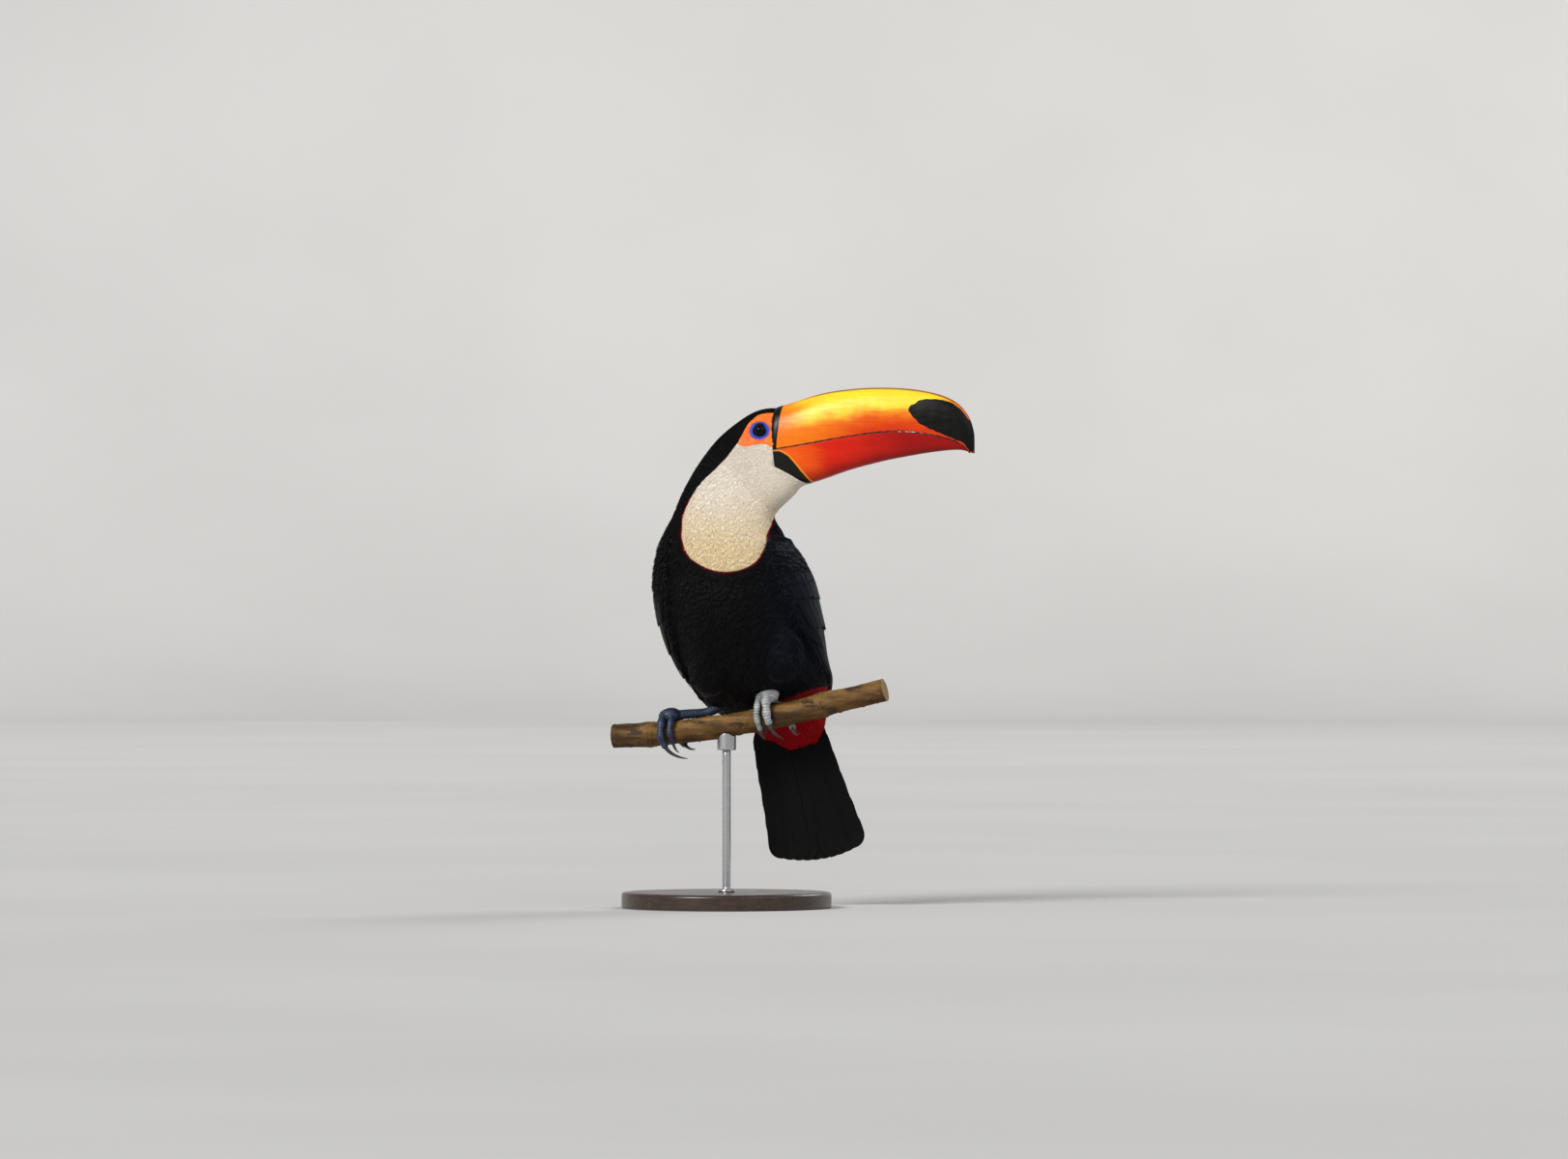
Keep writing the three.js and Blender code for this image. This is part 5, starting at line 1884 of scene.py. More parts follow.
@dataclass
class Stand:
    """The display stand: a turned wooden base, a steel rod, and a cupped saddle below the perch."""

    perch: Perch
    base_radius: float = 100
    base_height: float = 15
    chamfer: float = 3
    rod_radius: float = 4
    saddle_radius: float = 9
    saddle_drop: float = 23.6
    around: int = 160

    def base(self) -> Array:
        """The base, its top edge eased and a fine bead turned near its rim.

        Returns:
            Its rings of points.
        """
        r, h, c = self.base_radius, self.base_height, self.chamfer
        foot = [(2, 0), (r * 0.5, 0), (r - 1, 0), (r - 0.6, 0.1), (r - 0.2, 0.45), (r, 1)]
        side = [(r, z) for z in np.linspace(2, h - c, 6)]
        edge = [(r - c + c * math.cos(a), h - c + c * math.sin(a)) for a in np.linspace(0.2, math.pi / 2, 7)]
        bead = [(r - 7, h), (r - 7.4, h - 0.5), (r - 8, h - 0.75), (r - 8.6, h - 0.5), (r - 9, h)]
        top = [(x, h) for x in np.linspace(r - 12, 5.5, 12)] + [(4.4, h), (2, h)]
        return turned([*foot, *side, *edge, *bead, *top], self.around)

    def rod(self, top: float) -> Array:
        """The rod, with a turned collar where it enters the base.

        Args:
            top: how high it reaches.

        Returns:
            Its rings of points.
        """
        r, h = self.rod_radius, self.base_height
        steps = ((1 - r, 0.02), (3.4, 0.02), (3.8, 0.4), (3.8, 2.2), (3.2, 2.9), (0.6, 3.1), (0.15, 3.3),
                 (0, 3.6))
        collar = [(r + out, h + up) for out, up in steps]
        shaft = [(r, z) for z in np.linspace(h + 6, top - 0.4, 30)]
        return turned([*collar, *shaft, (r - 0.4, top), (1, top)], 64)

    def saddle(self, foot: float) -> Array:
        """The saddle, its top hollowed to the perch's underside.

        Args:
            foot: how high its foot is.

        Returns:
            Its rings of points.
        """
        r = self.saddle_radius
        rim = [(1, 0), (6, 0), (r - 1, 0.1), (r - 0.2, 0.5), (r, 1.2)]
        rings = [*turned(rim, 72) + foot * UP]
        for share in np.linspace(0.1, 0.95, 14):
            rings.append(mix(rings[4], self.under_perch(r), share))
        rings.append(self.under_perch(r - 0.1) - 0.25 * UP)
        return np.stack([*rings, *(self.under_perch(radius) for radius in (8.5, 7.6, 6, 4, 2, 0.6))])

    def under_perch(self, radius: float) -> Array:
        """A ring of points on the perch's underside, just clear of its bark.

        Args:
            radius: the ring's radius.

        Returns:
            The points.
        """
        x, y = radius * np.cos(circle(72)), radius * np.sin(circle(72))
        share = self.perch.share_at(x)
        bark = self.perch.radius_at(share) + 0.15
        z = self.perch.path.at(share)[:, 2] - np.sqrt(np.maximum(bark**2 - y**2, 9.0))
        return np.stack([x, y, z], axis=-1)

    def build(self, wood: Material, steel: Material) -> None:
        """Makes the stand.

        Args:
            wood: the base's material.
            steel: the material of the rod and saddle.
        """
        foot = self.perch.path.at(self.perch.share_at(0))[0][2] - self.saddle_drop
        shapes = {"base": self.base(), "rod": self.rod(foot), "saddle": self.saddle(foot)}
        for name, rings in shapes.items():
            finish, slot = (wood, "stand_wood") if name == "base" else (steel, "stand_steel")
            Piece(f"stand_{name}_turned", *solid(rings)).settle([finish], slot, f"stand_{name}")


# ------------------------------------------------------------------ finishes

Value = Socket | float | str
# Where a marking's soft edge starts and ends once it is sharpened.
MARK_EDGE = (0.38, 0.62)


class Bench:
    """Adds and joins nodes of a material or node group. A name given as a value reads that mesh mask."""

    def __init__(self, tree: Tree, effects: "Effects | None" = None) -> None:
        """Takes the tree that the nodes go in, and the shared effects."""
        self.tree, self.effects = tree, effects

    def add(self, kind: str, **settings: str | bool | float) -> bpy.types.Node:
        """Adds a node.

        Args:
            kind: its type's name, without its first word.
            settings: its options.

        Returns:
            The node.
        """
        node = self.tree.nodes.new(f"ShaderNode{kind}")
        for name, value in settings.items():
            setattr(node, name, value)
        return node

    def feed(self, socket: Socket, value: Value | Triple) -> None:
        """Links or sets an input.

        Args:
            socket: the input.
            value: another node's output, the name of a mask, a number, or a colour.
        """
        if isinstance(value, str):
            value = self.add("Attribute", attribute_name=value).outputs["Fac"]
        if isinstance(value, Socket):
            self.tree.links.new(value, socket)
        else:
            socket.default_value = (*value, 1.0) if socket.type == "RGBA" else value

    def feed_all(self, sockets: list[Socket], values: tuple[Value | Triple, ...]) -> None:
        """Links or sets several inputs in order."""
        for socket, value in zip(sockets, values):
            self.feed(socket, value)

    def number(self, operation: str, *values: Value, clamp: bool = False) -> Socket:
        """Does arithmetic on numbers.

        Args:
            operation: what is done.
            values: the numbers.
            clamp: whether the result is kept from 0 to 1.

        Returns:
            The result.
        """
        node = self.add("Math", operation=operation, use_clamp=clamp)
        self.feed_all(node.inputs, values)
        return node.outputs[0]

    def times(self, first: Value, second: Value) -> Socket:
        """The product of two numbers."""
        return self.number("MULTIPLY", first, second)

    def scaled(self, value: Value, gain: Value, shift: Value, clamp: bool = False) -> Socket:
        """A number times a gain plus a shift."""
        return self.number("MULTIPLY_ADD", value, gain, shift, clamp=clamp)

    def ramp(self, value: Value, low: float, high: float, start: float = 0.0, end: float = 1.0) -> Socket:
        """A smooth ramp.

        Args:
            value: what is tested.
            low: where the ramp starts, which may be above its end.
            high: where it ends.
            start: its level at the start.
            end: its level at the end.

        Returns:
            Its level at the value.
        """
        node = self.add("MapRange", interpolation_type="SMOOTHSTEP")
        levels = (high, low, end, start) if low > high else (low, high, start, end)
        self.feed_all(node.inputs, (value, *levels))
        return node.outputs[0]

    def colour(self, share: Value, low: Socket | Triple, high: Socket | Triple, blend: str = "MIX") -> Socket:
        """Mixes two colours.

        Args:
            share: how much of the second there is.
            low: the first.
            high: the second.
            blend: how they are mixed.

        Returns:
            The colour.
        """
        node = self.add("Mix", data_type="RGBA", blend_type=blend)
        self.feed_all([node.inputs[k] for k in (0, 6, 7)], (share, low, high))
        return node.outputs[2]

    def place(self, axis: str) -> Socket:
        """Where on the object's own X, Y or Z a point lies, in metres."""
        return self.parts(self.add("TexCoord").outputs["Object"])[axis]

    def parts(self, vector: Socket) -> bpy.types.bpy_prop_collection:
        """The three numbers of a vector.

        Args:
            vector: the vector.

        Returns:
            Outputs named X, Y and Z.
        """
        split = self.add("SeparateXYZ")
        self.feed(split.inputs[0], vector)
        return split.outputs

    def noise(self, size: float, stretch: Triple = (1, 1, 1), detail: float = 3.0) -> Socket:
        """Noise over the object.

        Args:
            size: how large its lumps are, in millimetres.
            stretch: how much longer they are along each axis.
            detail: how many finer layers it has.

        Returns:
            Its value.
        """
        mapping, node = self.add("Mapping"), self.add("TexNoise")
        self.feed(mapping.inputs["Vector"], self.add("TexCoord").outputs["Object"])
        mapping.inputs["Scale"].default_value = tuple(1 / (size * MM * s) for s in stretch)
        self.feed_all([node.inputs[name] for name in ("Vector", "Scale", "Detail")],
                      (mapping.outputs[0], 1.0, detail))
        return node.outputs["Fac"]

    def effect(self, group: Tree, **values: Value | Triple) -> tuple[Socket, ...]:
        """Places a shared effect.

        Args:
            group: the effect.
            values: its inputs.

        Returns:
            Its outputs.
        """
        node = self.add("Group")
        node.node_tree = group
        self.feed_all([node.inputs[name] for name in values], tuple(values.values()))
        return tuple(node.outputs)

    def surface(self, colour: Socket | Triple, roughness: Value, height: Socket | None = None,
                bump: float = 0.5, reach: float = 0.3, **constants: float | Triple) -> None:
        """Ends a material in its shader.

        Args:
            colour: its base colour.
            roughness: its roughness.
            height: the fine relief, if any.
            bump: the relief's strength.
            reach: how high the relief is, in millimetres.
            constants: the shader's other inputs by name, with underscores for spaces.
        """
        shader = self.add("BsdfPrincipled")
        for name, value in {"Base_Color": colour, "Roughness": roughness, **constants}.items():
            self.feed(shader.inputs[name.replace("_", " ")], value)
        if height is not None:
            node = self.add("Bump")
            self.feed_all([node.inputs[name] for name in ("Strength", "Distance", "Height")],
                          (bump, reach * MM, height))
            self.feed(shader.inputs["Normal"], node.outputs[0])
        self.feed(self.add("OutputMaterial").inputs["Surface"], shader.outputs[0])


class Effects:
    """The effects that several materials share, each one a node group."""

    def __init__(self) -> None:
        """Builds the groups."""
        self.barbs = self.make_barbs()
        self.mottle = self.make_blend("mottled colour", (9.0,), (1.3, (1, 1, 1), 5.0), 0.65, True)
        self.grain = self.make_blend("long fibres", (3.2, (9, 1, 1), 4.0), (0.7, (14, 1, 1), 3.0), 0.6, False)

    @staticmethod
    def start(name: str, inputs: dict[str, float | Triple], outputs: tuple[str, ...]) -> tuple[
            Tree, Bench, bpy.types.Node, bpy.types.Node]:
        """Starts a group.

        Args:
            name: its name.
            inputs: each input's first value, a number or a colour.
            outputs: each output's name.

        Returns:
            The group, its bench, and its nodes of inputs and outputs.
        """
        tree = bpy.data.node_groups.new(name, "ShaderNodeTree")
        for key, value in inputs.items():
            kind = "NodeSocketColor" if isinstance(value, tuple) else "NodeSocketFloat"
            socket = tree.interface.new_socket(key, in_out="INPUT", socket_type=kind)
            socket.default_value = (*value, 1.0) if isinstance(value, tuple) else value
        for key in outputs:
            kind = "NodeSocketColor" if key == "Colour" else "NodeSocketFloat"
            tree.interface.new_socket(key, in_out="OUTPUT", socket_type=kind)
        return tree, Bench(tree), tree.nodes.new("NodeGroupInput"), tree.nodes.new("NodeGroupOutput")

    def make_barbs(self) -> Tree:
        """Fine barbs slanting from a feather's shaft, with its own tone and its worn edge.

        Returns:
            The group.
        """
        tree, bench, given, put = self.start("feather barbs", {"Spacing": 0.05, "Slant": 0.9},
                                             ("Streak", "Tone", "Height", "Edge"))
        out, down, _ = bench.parts(bench.add("UVMap", uv_map="vane").outputs[0])
        slant = bench.times(bench.number("ABSOLUTE", out), given.outputs["Slant"])
        run = bench.number("DIVIDE", bench.number("SUBTRACT", down, slant), given.outputs["Spacing"])
        phase = bench.scaled(bench.noise(4.0), 2.8, run)
        streak = bench.scaled(bench.number("SINE", bench.times(phase, 2 * math.pi)), 0.5, 0.5)
        clumped = bench.times(streak,
                              bench.scaled(bench.ramp(bench.noise(2.5, detail=2.0), 0.35, 0.7), 0.6, 0.4))
        tone = bench.scaled(bench.noise(14.0, detail=2.0), 0.6, bench.times("shade", 0.4))
        worn = bench.number("MAXIMUM", bench.ramp("along", 0.86, 1.0), bench.ramp("across", 0.8, 1.0))
        bench.feed_all(put.inputs, (clumped, tone, streak, worn))
        return tree

    def make_blend(self, name: str, coarse: tuple, fine: tuple, weight: float, fine_relief: bool) -> Tree:
        """An effect that varies a colour by noise of two sizes, as blotches or as long fibres along X.

        Args:
            name: its name.
            coarse: the coarse noise's size, stretch and detail.
            fine: the fine noise's.
            weight: the coarse noise's weight in the colour.
            fine_relief: whether the relief follows the fine noise alone.

        Returns:
            The group.
        """
        inputs = {"Colour": (0.5, 0.5, 0.5), "Other": (0.4, 0.4, 0.4), "Amount": 0.5}
        tree, bench, given, put = self.start(name, inputs, ("Colour", "Height"))
        small = bench.noise(*fine)
        both = bench.scaled(bench.noise(*coarse), weight, bench.times(small, 1 - weight))
        share = bench.times(bench.ramp(both, 0.38, 0.62), given.outputs["Amount"])
        colour = bench.colour(share, given.outputs["Colour"], given.outputs["Other"])
        bench.feed_all(put.inputs, (colour, small if fine_relief else both))
        return tree


class Finish:
    """A way of finishing surfaces."""

    name: str

    def make(self, effects: Effects) -> Material:
        """Makes the material.

        Args:
            effects: the shared effects.

        Returns:
            The material.
        """
        material = bpy.data.materials.new(self.name)
        material.use_nodes = True
        material.node_tree.nodes.clear()
        self.fill(Bench(material.node_tree, effects))
        return material

    def fill(self, bench: Bench) -> None:
        """Lays the material's nodes on its bench."""
        raise NotImplementedError


@dataclass(frozen=True)
class Ink:
    """One plumage colour: between the barbs, on them, and at a feather's worn edge."""

    deep: Triple
    bright: Triple
    edge: Triple


@dataclass(frozen=True)
class PlumageFinish(Finish):
    """All the feathers: black with a painted blue sheen on the left side, an ivory bib with painted warm
    shade low down, and deep red.
    """

    name: str = "plumage"
    black: Ink = Ink((0.0014, 0.0014, 0.0017), (0.004, 0.004, 0.005), (0.006, 0.0055, 0.006))
    white: Ink = Ink((0.86, 0.78, 0.67), (0.93, 0.86, 0.76), (0.94, 0.88, 0.79))
    red: Ink = Ink((0.2, 0.001, 0.003), (0.5, 0.003, 0.005), (0.52, 0.01, 0.012))
    # Painted sheen: the blue painted over the black plumage on the bird's left side, and where along X and up
    # Z it fades in, in metres.
    blue: Triple = (0.004, 0.0062, 0.013)
    painted_sheen_x: Pair = (0.03, 0.08)
    painted_sheen_z: Pair = (0.19, 0.25)
    # Painted shade: a warm brownish colour multiplied into the white. It grows from the first height down to
    # the second, in metres, and fades out again down across the last pair of heights.
    tan: Triple = (0.95, 0.83, 0.58)
    painted_shade_z: Pair = (0.41, 0.33)
    hem_z: Pair = (0.24, 0.3)

    def fill(self, bench: Bench) -> None:
        """Lays the material's nodes.

        Args:
            bench: the material's bench.
        """
        streak, tone, height, edge = bench.effect(bench.effects.barbs, Spacing=0.05, Slant=0.9)
        lit, worn = bench.scaled(tone, 0.7, bench.times(streak, 0.4), clamp=True), bench.times(edge, 0.5)
        black, white, red = (bench.colour(worn, bench.colour(lit, ink.deep, ink.bright), ink.edge)
                             for ink in (self.black, self.white, self.red))
        waver = bench.scaled(bench.noise(30.0), 0.03, -0.015)
        z = bench.place("Z")
        # Painted sheen: blue painted onto the black on the bird's left side, fading in along X and up Z.
        painted_sheen = bench.times(bench.ramp(bench.number("ADD", bench.place("X"), waver), *self.painted_sheen_x),
                            bench.ramp(z, *self.painted_sheen_z))
        black = bench.colour(bench.times(painted_sheen, 0.8), black, self.blue)
        # Painted shade: the white darkened towards a warm brownish colour down the lower bib.
        painted_bib_shade = bench.times(bench.ramp(bench.number("ADD", z, waver), *self.painted_shade_z),
                             bench.ramp(z, *self.hem_z))
        white = bench.colour(painted_bib_shade, white, self.tan, "MULTIPLY")
        colour = bench.colour(bench.ramp("white", *MARK_EDGE),
                              bench.colour(bench.ramp("red", *MARK_EDGE), black, red), white)
        rough = bench.scaled("white", 0.2, bench.scaled(streak, 0.15, 0.42))
        bench.surface(colour, rough, height, 0.3, 0.06, Sheen_Weight=0.008, Sheen_Roughness=0.4,
                      Specular_IOR_Level=0.08)


@dataclass(frozen=True)
class UnderFinish(Finish):
    """The skin below the feathers, in the markings' colours so that nothing pale shows between them."""

    name: str = "skin under plumage"
    black: Triple = (0.006, 0.006, 0.007)
    white: Triple = (0.84, 0.77, 0.66)
    red: Triple = (0.14, 0.003, 0.004)

    def fill(self, bench: Bench) -> None:
        """Lays the material's nodes.

        Args:
            bench: the material's bench.
        """
        red, white = (bench.ramp(name, *MARK_EDGE) for name in ("red", "white"))
        colour = bench.colour(white, bench.colour(red, self.black, self.red), self.white)
        blotch = bench.colour(0.2, colour, (0.0, 0.0, 0.0))
        colour, height = bench.effect(bench.effects.mottle, Colour=colour, Other=blotch, Amount=0.4)
        bench.surface(colour, 0.75, height, 0.5, 0.15, Specular_IOR_Level=0.2)


@dataclass(frozen=True)
class OrbitFinish(Finish):
    """The bare skin round the eye: grainy orange, with a cobalt ring, painted shade in the groove round it,
    and dark lid edges.
    """

    name: str = "bare orbital skin"
    orange: Triple = (0.9, 0.19, 0.004)
    deep_orange: Triple = (0.78, 0.1, 0.003)
    blue: Triple = (0.006, 0.035, 0.4)
    light_blue: Triple = (0.02, 0.1, 0.6)
    # Painted shade: the darker colour painted in the groove round the blue ring.
    crease: Triple = (0.2, 0.02, 0.01)
    dark: Triple = (0.006, 0.006, 0.012)

    def fill(self, bench: Bench) -> None:
        """Lays the material's nodes.

        Args:
            bench: the material's bench.
        """
        orange, height = bench.effect(bench.effects.mottle, Colour=self.orange, Other=self.deep_orange,
                                      Amount=0.8)
        blue, _ = bench.effect(bench.effects.mottle, Colour=self.blue, Other=self.light_blue, Amount=0.7)
        colour = bench.colour("blue", orange, blue)
        # Painted shade in the groove round the ring, then the dark lid edges.
        colour = bench.colour("margin", bench.colour(bench.times("groove", 0.6), colour, self.crease),
                              self.dark)
        bench.surface(colour, 0.48, height, 0.5, 0.12, Specular_IOR_Level=0.28, Subsurface_Weight=0.05,
                      Subsurface_Scale=0.002)


@dataclass(frozen=True)
class ScaleFinish(Finish):
    """The scutes of shanks and toes, dark in the joints between them, painted as a sunlit pale grey copy on
    the left foot and a shaded dark blue-grey copy on the right.
    """

    name: str = "foot scutes"
    # Painted shade and light: a shaded dark blue-grey copy of the scutes for the right foot, and a sunlit
    # pale grey copy for the left.
    painted_shade_slate: Triple = (0.007, 0.013, 0.032)
    slate_light: Triple = (0.028, 0.05, 0.105)
    painted_sunlit_silver: Triple = (0.17, 0.195, 0.215)
    silver_light: Triple = (0.56, 0.58, 0.57)
    joint: Triple = (0.006, 0.008, 0.014)

    def fill(self, bench: Bench) -> None:
        """Lays the material's nodes.

        Args:
            bench: the material's bench.
        """
        # Painted shade for the right foot, then painted light for the left, chosen by the 'pale' mask.
        dark, height = bench.effect(bench.effects.mottle, Colour=self.painted_shade_slate, Other=self.slate_light,
                                    Amount=0.8)
        pale, _ = bench.effect(bench.effects.mottle, Colour=self.painted_sunlit_silver, Other=self.silver_light, Amount=0.8)
        light = bench.colour("pale", self.slate_light, self.silver_light)
        colour = bench.colour(bench.times("wear", 0.3), bench.colour("pale", dark, pale), light)
        colour = bench.colour(bench.times("gap", 0.8), colour, self.joint)
        bench.surface(colour, bench.ramp("gap", 0.0, 1.0, 0.42, 0.7), height, 0.4, 0.08,
                      Specular_IOR_Level=0.45)


@dataclass(frozen=True)
class HornFinish(Finish):
    """The horn of one half of the bill, glossy over long fibres."""

    name: str
    base: Triple
    middle: Triple
    far: Triple
    edge: Triple
    spot: Triple
    rim: Triple
    upper: bool
    seam: Triple = (0.05, 0.008, 0.004)

    def fill(self, bench: Bench) -> None:
        """Lays the material's nodes.

        Args:
            bench: the material's bench.
        """
        blotch = bench.noise(13.0, (2.2, 1, 1))
        high, ahead = (bench.scaled(blotch, 2 * half, bench.number("ADD", name, -half))
                       for name, half in (("rise", 0.25), ("reach", 0.125)))
        if self.upper:
            length = bench.times(bench.ramp(ahead, 0.02, 0.24), bench.ramp(ahead, 1.0, 0.78))
            middle = bench.times(bench.ramp(high, 0.3, 0.68), length)
            far = bench.times(bench.ramp(high, 0.58, 0.08), bench.ramp(ahead, 0.12, 0.5))
            edge = bench.times(bench.times(bench.ramp("rise", 0.955, 0.985), bench.ramp("reach", 0.04, 0.25)),
                               0.85)
        else:
            middle, far = bench.ramp(ahead, 0.04, 0.3), bench.ramp(ahead, 0.26, 0.75)
            edge = bench.times(bench.ramp("rise", 0.6, 1.0), 0.5)
        colour = self.base
        for share, tone in ((middle, self.middle), (far, self.far), (edge, self.edge)):
            colour = bench.colour(share, colour, tone)
        fibre = bench.colour(0.75, colour, self.edge)
        colour, height = bench.effect(bench.effects.grain, Colour=colour, Other=fibre, Amount=0.2)
        colour = bench.colour(bench.times(bench.ramp("base", 0.2, 0.27), 0.9), colour, self.rim)
        colour = bench.colour(bench.times("seam", 0.85), colour, self.seam)
        black = bench.number("MAXIMUM", bench.ramp("black", 0.43, 0.57), bench.ramp("base", 0.46, 0.54))
        bench.surface(bench.colour(black, colour, self.spot), bench.ramp(height, 0.3, 0.7, 0.27, 0.42),
                      height, 0.35, 0.1, Coat_Roughness=0.15, Coat_Weight=0.05, Specular_IOR_Level=0.2,
                      Subsurface_Weight=0.02, Subsurface_Scale=0.003)


UPPER_HORN = HornFinish("upper bill horn", (0.9, 0.2, 0.003), (0.97, 0.74, 0.03), (0.7, 0.04, 0.001),
                        (0.25, 0.014, 0.002), (0.002, 0.0018, 0.0016), (0.9, 0.4, 0.05), True)
LOWER_HORN = HornFinish("lower bill horn", (0.92, 0.12, 0.002), (0.72, 0.014, 0.001), (0.34, 0.0016, 0.001),
                        (0.2, 0.002, 0.001), (0.006, 0.0058, 0.0035), (0.85, 0.28, 0.03), False)


@dataclass(frozen=True)
class EyeFinish(Finish):
    """A wet dark eye: black pupil in a deep brown iris with a navy edge."""

    name: str = "wet eye"
    pupil: Triple = (0.0004, 0.0004, 0.0006)
    iris: Triple = (0.003, 0.002, 0.002)
    ray: Triple = (0.007, 0.0045, 0.004)
    outer: Triple = (0.002, 0.003, 0.012)

    def fill(self, bench: Bench) -> None:
        """Lays the material's nodes.

        Args:
            bench: the material's bench.
        """
        rays = bench.noise(0.5, detail=4.0)
        iris = bench.colour(bench.ramp(rays, 0.3, 0.7), self.iris, self.ray)
        colour = bench.colour(bench.ramp("out", 2.5, 2.9), self.pupil, iris)
        colour = bench.colour(bench.ramp("out", 4.4, 5.2), colour, self.outer)
        bench.surface(colour, bench.ramp(rays, 0.0, 1.0, 0.05, 0.08), Coat_Weight=0.04, Coat_Roughness=0.02,
                      Specular_IOR_Level=0.12)


@dataclass(frozen=True)
class FibreFinish(Finish):
    """A plain material of long fibres, such as claw horn or stained wood."""

    name: str
    light: Triple
    dark: Triple
    amount: float
    rough: Pair
    bump: float
    reach: float
    coat: float = 0.0
    metal: float = 0.0

    def fill(self, bench: Bench) -> None:
        """Lays the material's nodes.

        Args:
            bench: the material's bench.
        """
        colour, height = bench.effect(bench.effects.grain, Colour=self.light, Other=self.dark,
                                      Amount=self.amount)
        colour, _ = bench.effect(bench.effects.mottle, Colour=colour, Other=self.dark,
                                 Amount=self.amount * 0.35)
        bench.surface(colour, bench.ramp(height, 0.3, 0.7, *self.rough), height, self.bump, self.reach,
                      Coat_Weight=self.coat, Coat_Roughness=0.2, Metallic=self.metal)


CLAW_HORN = FibreFinish("claw horn", (0.05, 0.045, 0.045), (0.012, 0.011, 0.012), 0.9, (0.28, 0.4), 0.2, 0.05,
                        0.2)
STAND_WOOD = FibreFinish("stained wood", (0.05, 0.026, 0.015), (0.017, 0.008, 0.005), 0.9, (0.28, 0.42), 0.15,
                         0.1, 0.25)
STAND_STEEL = FibreFinish("brushed steel", (0.6, 0.6, 0.61), (0.42, 0.42, 0.44), 0.5, (0.26, 0.4), 0.06, 0.03,
                          0.0, 1.0)


@dataclass(frozen=True)
class BarkFinish(Finish):
    """Thin ochre bark, with painted light making it paler on top and painted shade making it dark in its
    cracks and hollows.
    """

    name: str = "ochre bark"
    ochre: Triple = (0.14, 0.066, 0.011)
    # Painted light: the paler colour painted along the perch's upper side.
    pale: Triple = (0.3, 0.17, 0.045)
    umber: Triple = (0.04, 0.017, 0.005)
    speck: Triple = (0.38, 0.28, 0.16)

    def fill(self, bench: Bench) -> None:
        """Lays the material's nodes.

        Args:
            bench: the material's bench.
        """
        blotch = bench.noise(16.0, (2.5, 1, 1), 5.0)
        # Painted light: the perch's upper side is painted paler, broken up by the blotches.
        light = bench.times(bench.ramp("top", 0.35, 0.95), bench.ramp(blotch, 0.66, 0.36))
        colour = bench.colour(bench.ramp(blotch, 0.38, 0.66), self.ochre, self.umber)
        # Painted shade: the bark turns umber where its relief sinks into cracks and hollows.
        colour = bench.colour(bench.ramp("relief", 0.52, 0.2), bench.colour(light, colour, self.pale),
                              self.umber)
        crack = bench.colour(0.6, colour, self.umber)
        colour, height = bench.effect(bench.effects.grain, Colour=colour, Other=crack, Amount=0.8)
        specks = bench.times(bench.ramp(bench.noise(1.6, detail=2.0), 0.66, 0.74), 0.4)
        bench.surface(bench.colour(specks, colour, self.speck), bench.ramp(blotch, 0.3, 0.7, 0.62, 0.8),
                      height, 0.6, 0.35, Specular_IOR_Level=0.3)


@dataclass(frozen=True)
class SawnFinish(Finish):
    """The pale wood of a sawn end, with its rings."""

    name: str = "sawn end grain"
    wood: Triple = (0.4, 0.25, 0.12)
    ring: Triple = (0.2, 0.11, 0.045)
    stain: Triple = (0.04, 0.017, 0.005)

    def fill(self, bench: Bench) -> None:
        """Lays the material's nodes.

        Args:
            bench: the material's bench.
        """
        wave = bench.number("SINE", bench.times(bench.scaled(bench.noise(5.0), 1.4, "ring"), 6.5))
        colour = bench.colour(bench.ramp(wave, -0.4, 1.0), self.wood, self.ring)
        colour, height = bench.effect(bench.effects.mottle, Colour=colour, Other=self.stain, Amount=0.3)
        bench.surface(colour, bench.ramp(wave, -1.0, 1.0, 0.65, 0.75), height, 0.4, 0.2,
                      Specular_IOR_Level=0.3)


@dataclass(frozen=True)
class FloorFinish(Finish):
    """A plain pale matt floor."""

    name: str = "pale studio floor"
    dim: Triple = (0.56, 0.556, 0.548)
    bright: Triple = (0.59, 0.586, 0.578)

    def fill(self, bench: Bench) -> None:
        """Lays the material's nodes.

        Args:
            bench: the material's bench.
        """
        tone = bench.colour(bench.ramp(bench.noise(900.0), 0.3, 0.7), self.dim, self.bright)
        bench.surface(tone, 0.85, Specular_IOR_Level=0.15)


# ------------------------------------------------------------------ studio


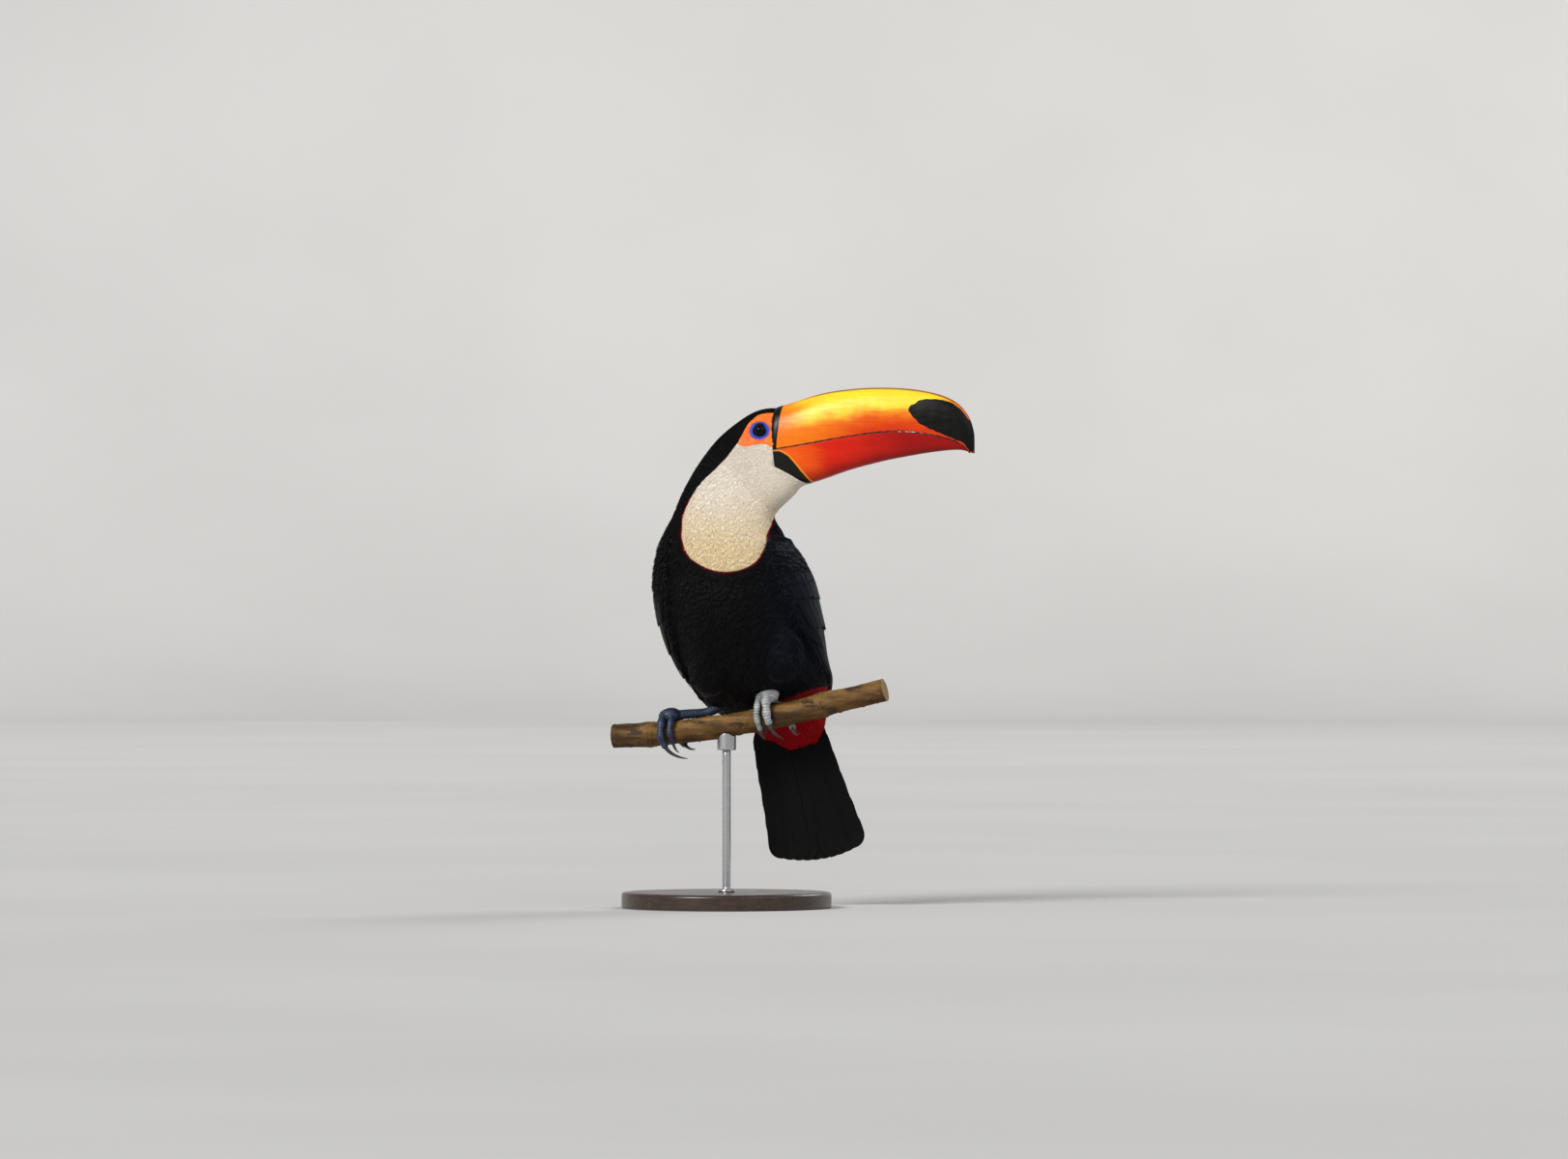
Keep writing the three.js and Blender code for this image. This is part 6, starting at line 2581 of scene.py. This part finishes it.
@dataclass
class Studio:
    """A plain pale floor that sweeps up into its backdrop, soft lamps, and the camera, measured in metres."""

    floor_radius: float = 15.0
    cove: float = 3.0
    height: float = 4.0
    turn: float = math.radians(15)
    distance: float = 9.0
    aim: Pair = (0.0547, 0.3128)
    lens: float = 217.0
    air: Triple = (0.95, 0.97, 1.0)
    air_strength: float = 0.34

    def backdrop(self, finish: Material) -> None:
        """Makes the floor and its sweep.

        Args:
            finish: its material.
        """
        flat, bend = self.floor_radius - self.cove, np.linspace(0, math.pi / 2, 24)
        profile = [(r, 0.0) for r in (0.02, 0.5, 2.0, 6.0, flat)]
        profile += [(flat + self.cove * math.sin(a), self.cove * (1 - math.cos(a))) for a in bend]
        rings = turned(np.array([*profile, (self.floor_radius, self.height)]) / MM, 96)
        sides, first, _ = tube_faces(*rings.shape[:2])
        Piece("studio_floor", rings.reshape(-1, 3), [sides[:, ::-1], first[:, ::-1]]).make([finish])

    def lamp(self, name: str, place: Triple, softness: float, power: float, colour: Triple) -> None:
        """Hangs a broad far lamp that looks at the bird.

        Args:
            name: its name.
            place: where it hangs.
            softness: how wide it looks from the bird, in degrees.
            power: its strength.
            colour: its colour.
        """
        light = bpy.data.lights.new(name, "SUN")
        light.angle, light.energy, light.color = math.radians(softness), power, colour
        self.hang(bpy.data.objects.new(name, light), Vector(place), -Vector(place))

    @staticmethod
    def hang(made: bpy.types.Object, place: Vector, ahead: Vector) -> None:
        """Puts a lamp or camera in place.

        Args:
            made: the lamp or camera.
            place: where it goes.
            ahead: which way it looks.
        """
        made.location = place
        made.rotation_euler = ahead.to_track_quat("-Z", "Y").to_euler()
        bpy.context.collection.objects.link(made)

    def camera(self) -> bpy.types.Object:
        """Sets up the camera, level, in front of the bird and a little to its left.

        Returns:
            The camera.
        """
        data = bpy.data.cameras.new("camera")
        data.lens, data.sensor_width, data.clip_end = self.lens, 36.0, 100.0
        made = bpy.data.objects.new("camera", data)
        across = Vector((math.cos(self.turn), math.sin(self.turn), 0))
        back = Vector((math.sin(self.turn), -math.cos(self.turn), 0))
        self.hang(made, across * self.aim[0] + back * self.distance + Vector((0, 0, self.aim[1])), -back)
        return made

    def build(self, floor: Material) -> None:
        """Builds the studio.

        Args:
            floor: the floor's material.
        """
        self.backdrop(floor)
        self.lamp("key lamp", (-1.4, -3.0, 2.1), 24.0, 2.6, (1.0, 0.975, 0.94))
        self.lamp("fill lamp", (3.4, -2.2, 2.2), 50.0, 0.55, (0.93, 0.96, 1.0))
        self.lamp("rim lamp", (1.6, 3.0, 2.6), 22.0, 0.9, (1.0, 1.0, 1.0))
        scene = bpy.context.scene
        scene.world = bpy.data.worlds.new("studio air")
        scene.world.use_nodes = True
        background = scene.world.node_tree.nodes["Background"]
        background.inputs["Color"].default_value = (*self.air, 1.0)
        background.inputs["Strength"].default_value = self.air_strength
        scene.view_settings.view_transform = "Standard"
        scene.camera = self.camera()


def main() -> None:
    """Builds the model and its studio."""
    logging.basicConfig(level=logging.INFO, format="%(message)s")
    effects = Effects()
    Studio().build(FloorFinish().make(effects))
    plumage = PlumageFinish().make(effects)
    form, perch = BirdForm(), Perch()
    feet = [Foot(side, perch, *sizes) for side, *sizes in FEET]
    fluffs = [Fluff(f"thigh_{thigh.side.label}", thigh.skin(), seed=41 + i) for i, thigh in enumerate(THIGHS)]
    fluffs.append(Fluff("undertail", Undertail().skin(), True, 2.4, (12, 16), half=2.2, overhang=0.5,
                        seed=47))
    Skin(form, [Orbit(form, side) for side in Side], fluffs, feet).build(
        UnderFinish().make(effects), OrbitFinish().make(effects), ScaleFinish().make(effects))
    for part in (Plumage(form), *(WingFeathers(form, wing) for wing in form.wings), Tail(), *fluffs):
        part.build(plumage)
    Bill().build(UPPER_HORN.make(effects), LOWER_HORN.make(effects))
    wet_eye = EyeFinish().make(effects)
    for side in Side:
        Eye(side).build(wet_eye)
    claw_horn = CLAW_HORN.make(effects)
    for foot in feet:
        foot.build_claws(claw_horn)
    perch.build(BarkFinish().make(effects), SawnFinish().make(effects))
    Stand(perch).build(STAND_WOOD.make(effects), STAND_STEEL.make(effects))


if __name__ == "__main__":
    main()
